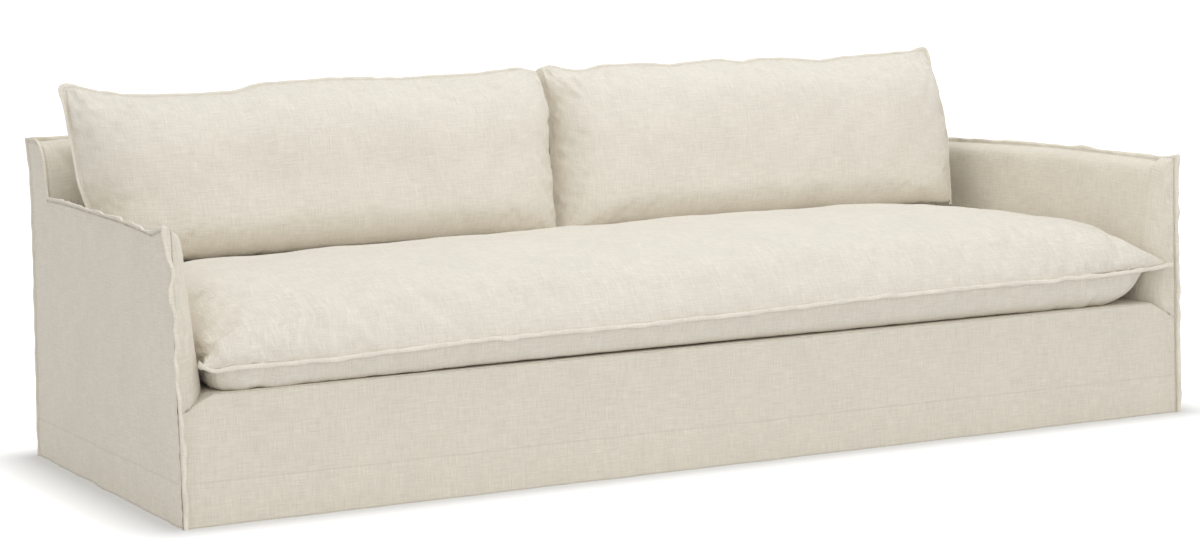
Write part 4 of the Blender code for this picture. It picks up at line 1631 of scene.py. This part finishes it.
def stitch_group():
    """A row of stitches: dashes along the way, in a narrow band where the distance from the line
    is small, and the groove that they draw."""
    nodes, given, out = new_group(
        "Stitch row",
        (("Vector", "Sewn", None), ("Float", "Length", STITCH_LENGTH)),
        (("Float", "Thread"), ("Float", "Groove")),
    )
    along, distance = nodes.split(given["Sewn"])[:2]
    away = nodes.math("ABSOLUTE", distance)
    band = nodes.spread(away, 0.0003, 0.0008, 1.0, 0.0)
    dash = nodes.math("FRACT", nodes.math("DIVIDE", along, given["Length"]))
    thread = nodes.math("MULTIPLY", band, nodes.math("LESS_THAN", dash, 0.66))
    nodes.feed(out, {"Thread": thread, "Groove": nodes.spread(away, 0.0, 0.0028, 1.0, 0.0)})
    return nodes.tree


def linen(name, colour, settings):
    """The finish of one group of pieces: washed linen with its rows of stitches and the painted
    shade in their grooves.
    """
    material = bpy.data.materials.get(name)
    if material:
        return material
    material = bpy.data.materials.new(name)
    material.use_nodes = True
    material.diffuse_color = (*colour, 1.0)
    nodes = Nodes(material.node_tree)
    groups = bpy.data.node_groups
    sewn = nodes.add("ShaderNodeAttribute", attribute_name="sewn").outputs["Vector"]
    weave = nodes.add(
        "ShaderNodeGroup",
        {
            "Cloth": nodes.add("ShaderNodeUVMap", uv_map="cloth").outputs[0],
            "Creased": nodes.split(sewn)[2],
            "Painted rim highlight": nodes.add("ShaderNodeAttribute", attribute_name="painted_rim_highlight").outputs["Fac"],
            "Colour": (*colour, 1.0),
            "Thread pitch": settings.pitch,
            "Slub": settings.slub,
        },
        node_tree=groups.get("Washed linen") or linen_group(),
    ).outputs
    row = groups.get("Stitch row") or stitch_group()
    stitches = nodes.add("ShaderNodeGroup", {"Sewn": sewn}, node_tree=row).outputs
    thread, groove = stitches["Thread"], stitches["Groove"]
    # Painted shade in the groove beside each row of stitches, then the thread's own paler colour
    base = nodes.blend(
        nodes.math("MULTIPLY", groove, GROOVE_SHADE_TONE), weave["Colour"], GROOVE_SHADE_COLOUR
    )
    base = nodes.blend(nodes.math("MULTIPLY", thread, THREAD_TONE), base, THREAD_COLOUR)
    height = nodes.total(weave["Height"], (groove, -GROOVE_DEPTH), (thread, THREAD_HEIGHT))
    bump = nodes.add("ShaderNodeBump", {"Height": height, **BUMP})
    nodes.feed(
        material.node_tree.nodes["Principled BSDF"],
        {"Base Color": base, "Normal": bump.outputs[0], **LINEN_SHINE},
    )
    return material


def cover_linen(scene):
    """The finish of the panels."""
    return linen("Cover linen", scene.slipcover_linen.cover, scene.slipcover_linen)


def cushion_linen(scene):
    """The finish of the cushions, a little paler than the cover's, as painted light for their
    brightly lit tops.
    """
    return linen("Cushion linen", scene.slipcover_linen.cushions, scene.slipcover_linen)


def pale_floor():
    """A matt floor that glows to white away from the feet of the cover, so that only the contact
    shadow is left. Only the camera sees the glow."""
    material = bpy.data.materials.new("Pale floor")
    material.use_nodes = True
    nodes = Nodes(material.node_tree)
    place = nodes.split(nodes.add("ShaderNodeTexCoord").outputs["Object"])
    beyond = [
        nodes.math("MAXIMUM", nodes.math("SUBTRACT", nodes.math("ABSOLUTE", axis), half), 0.0)
        for axis, half in ((place[0], SIDE_X), (place[1], -FRONT_Y))
    ]
    away = nodes.math("SQRT", nodes.total(*(nodes.math("POWER", side, 2.0) for side in beyond)))
    seen = nodes.add("ShaderNodeLightPath").outputs["Is Camera Ray"]
    nodes.feed(material.node_tree.nodes["Principled BSDF"], {
        "Base Color": FLOOR_COLOUR,
        "Roughness": 0.9,
        "Specular IOR Level": 0.0,
        "Emission Color": WHITE,
        "Emission Strength": nodes.math("MULTIPLY", nodes.spread(away, *FLOOR_GLOW), seen),
    })
    return material


# Stage


def softbox(name, power):
    """A rectangular area light, turned towards its aim."""
    size, place, aim, colour = SOFTBOXES[name]
    light = bpy.data.lights.new(name, "AREA")
    light.shape, light.energy, light.color = "RECTANGLE", power, colour
    light.size, light.size_y = size
    obj = bpy.data.objects.new(name, light)
    obj.location = place
    obj.rotation_euler = (Vector(aim) - Vector(place)).to_track_quat("-Z", "Y").to_euler()
    bpy.context.scene.collection.objects.link(obj)


def make_camera(scene):
    """A camera low at the front left corner, turned by its yaw, pitch and roll."""
    yaw, pitch, roll = (math.radians(angle) for angle in CAMERA_TURN)
    level = math.cos(pitch)
    forward = Vector((math.sin(yaw) * level, math.cos(yaw) * level, -math.sin(pitch)))
    right = Vector((math.cos(yaw), -math.sin(yaw), 0.0))
    up = right.cross(forward)
    axes = (
        right * math.cos(roll) + up * math.sin(roll),
        up * math.cos(roll) - right * math.sin(roll),
        -forward,
    )
    camera = bpy.data.objects.new("camera", bpy.data.cameras.new("camera"))
    camera.data.lens, camera.data.sensor_width = CAMERA_LENS, CAMERA_SENSOR
    turned = Matrix(axes).transposed().to_4x4()
    camera.matrix_world = Matrix.Translation(CAMERA_PLACE) @ turned
    scene.collection.objects.link(camera)
    scene.camera = camera


def make_stage(scene, stage):
    """A pale floor, even daylight that is white to the camera, two softboxes and the camera."""
    bpy.ops.mesh.primitive_plane_add(size=FLOOR_SIZE, location=(0, 0, 0))
    floor = bpy.context.object
    floor.name = "floor"
    floor.data.materials.append(pale_floor())

    world = bpy.data.worlds.new("Studio")
    scene.world = world
    world.use_nodes = True
    nodes = Nodes(world.node_tree)
    seen = nodes.add("ShaderNodeLightPath").outputs["Is Camera Ray"]
    strength = nodes.spread(seen, 0.0, 1.0, stage.daylight, 1.0)
    nodes.feed(world.node_tree.nodes["Background"], {"Color": WHITE, "Strength": strength})
    softbox("top light", stage.top_light)
    softbox("front light", stage.front_light)
    scene.view_settings.view_transform = "Standard"
    make_camera(scene)


# Operators


class SLIPCOVER_OT_side_panels(bpy.types.Operator):
    """Makes the two outside arm panels with the flanges round their edges"""

    bl_idname = "slipcover.side_panels"
    bl_label = "Side panels"

    def execute(self, context):
        for side in (-1, 1):
            side_panel(side, context.scene.slipcover_cover, cover_linen(context.scene))
        return {"FINISHED"}


class SLIPCOVER_OT_inside_arms(bpy.types.Operator):
    """Makes the two inside arm panels, which turn round the front of each arm"""

    bl_idname = "slipcover.inside_arms"
    bl_label = "Inside arms"

    def execute(self, context):
        for side in (-1, 1):
            inside_arm(side, context.scene.slipcover_cover, cover_linen(context.scene))
        return {"FINISHED"}


class SLIPCOVER_OT_back_panels(bpy.types.Operator):
    """Makes the inside and outside back, with the flange along the top"""

    bl_idname = "slipcover.back_panels"
    bl_label = "Back panels"

    def execute(self, context):
        inside_back(context.scene.slipcover_cover, cover_linen(context.scene))
        outside_back(context.scene.slipcover_cover, cover_linen(context.scene))
        return {"FINISHED"}


class SLIPCOVER_OT_deck_and_skirt(bpy.types.Operator):
    """Makes the seat deck and the front skirt with its hem"""

    bl_idname = "slipcover.deck_and_skirt"
    bl_label = "Deck and skirt"

    def execute(self, context):
        deck(context.scene.slipcover_cover, cover_linen(context.scene))
        front_skirt(context.scene.slipcover_cover, cover_linen(context.scene))
        return {"FINISHED"}


class SLIPCOVER_OT_seat_cushion(bpy.types.Operator):
    """Fills the seat cushion and adds its flange"""

    bl_idname = "slipcover.seat_cushion"
    bl_label = "Seat cushion"

    def execute(self, context):
        scene = context.scene
        seat_cushion(scene.slipcover_cushions, scene.slipcover_cover, cushion_linen(scene))
        return {"FINISHED"}


class SLIPCOVER_OT_back_cushions(bpy.types.Operator):
    """Fills the two back cushions and adds their flanges"""

    bl_idname = "slipcover.back_cushions"
    bl_label = "Back cushions"

    def execute(self, context):
        scene = context.scene
        settings = scene.slipcover_cushions, scene.slipcover_cover
        for name in PILLOWS:
            back_cushion(name, *settings, cushion_linen(scene))
        return {"FINISHED"}


class SLIPCOVER_OT_stage(bpy.types.Operator):
    """Makes the pale floor, the lights and the camera"""

    bl_idname = "slipcover.stage"
    bl_label = "Stage"

    def execute(self, context):
        make_stage(context.scene, context.scene.slipcover_stage)
        return {"FINISHED"}


class SLIPCOVER_PT_panel(bpy.types.Panel):
    """Lists the steps and the settings"""

    bl_idname = "SLIPCOVER_PT_panel"
    bl_label = "Slipcover"
    bl_space_type = "VIEW_3D"
    bl_region_type = "UI"
    bl_category = "Slipcover"

    def draw(self, context):
        for group in ("cover", "cushions", "linen", "stage"):
            box = self.layout.box()
            settings = getattr(context.scene, "slipcover_" + group)
            for key in settings.__annotations__:
                box.prop(settings, key)
        for operator in OPERATORS:
            self.layout.operator(operator.bl_idname)


SETTINGS = {
    "slipcover_cover": CoverSettings,
    "slipcover_cushions": CushionSettings,
    "slipcover_linen": LinenSettings,
    "slipcover_stage": StageSettings,
}
OPERATORS = (
    SLIPCOVER_OT_side_panels,
    SLIPCOVER_OT_inside_arms,
    SLIPCOVER_OT_back_panels,
    SLIPCOVER_OT_deck_and_skirt,
    SLIPCOVER_OT_seat_cushion,
    SLIPCOVER_OT_back_cushions,
    SLIPCOVER_OT_stage,
)


def register():
    """Makes the classes and the scene's settings known to Blender."""
    for kind in (*SETTINGS.values(), *OPERATORS, SLIPCOVER_PT_panel):
        bpy.utils.register_class(kind)
    for name, kind in SETTINGS.items():
        setattr(bpy.types.Scene, name, bpy.props.PointerProperty(type=kind))


def unregister():
    """Takes them out again, in reverse."""
    for name in SETTINGS:
        delattr(bpy.types.Scene, name)
    for kind in (SLIPCOVER_PT_panel, *reversed(OPERATORS), *reversed(SETTINGS.values())):
        bpy.utils.unregister_class(kind)


def main():
    """Makes every piece and the stage."""
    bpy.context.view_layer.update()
    register()
    bpy.ops.slipcover.side_panels()
    bpy.ops.slipcover.inside_arms()
    bpy.ops.slipcover.back_panels()
    bpy.ops.slipcover.deck_and_skirt()
    bpy.ops.slipcover.seat_cushion()
    bpy.ops.slipcover.back_cushions()
    bpy.ops.slipcover.stage()


if __name__ == "__main__":
    main()
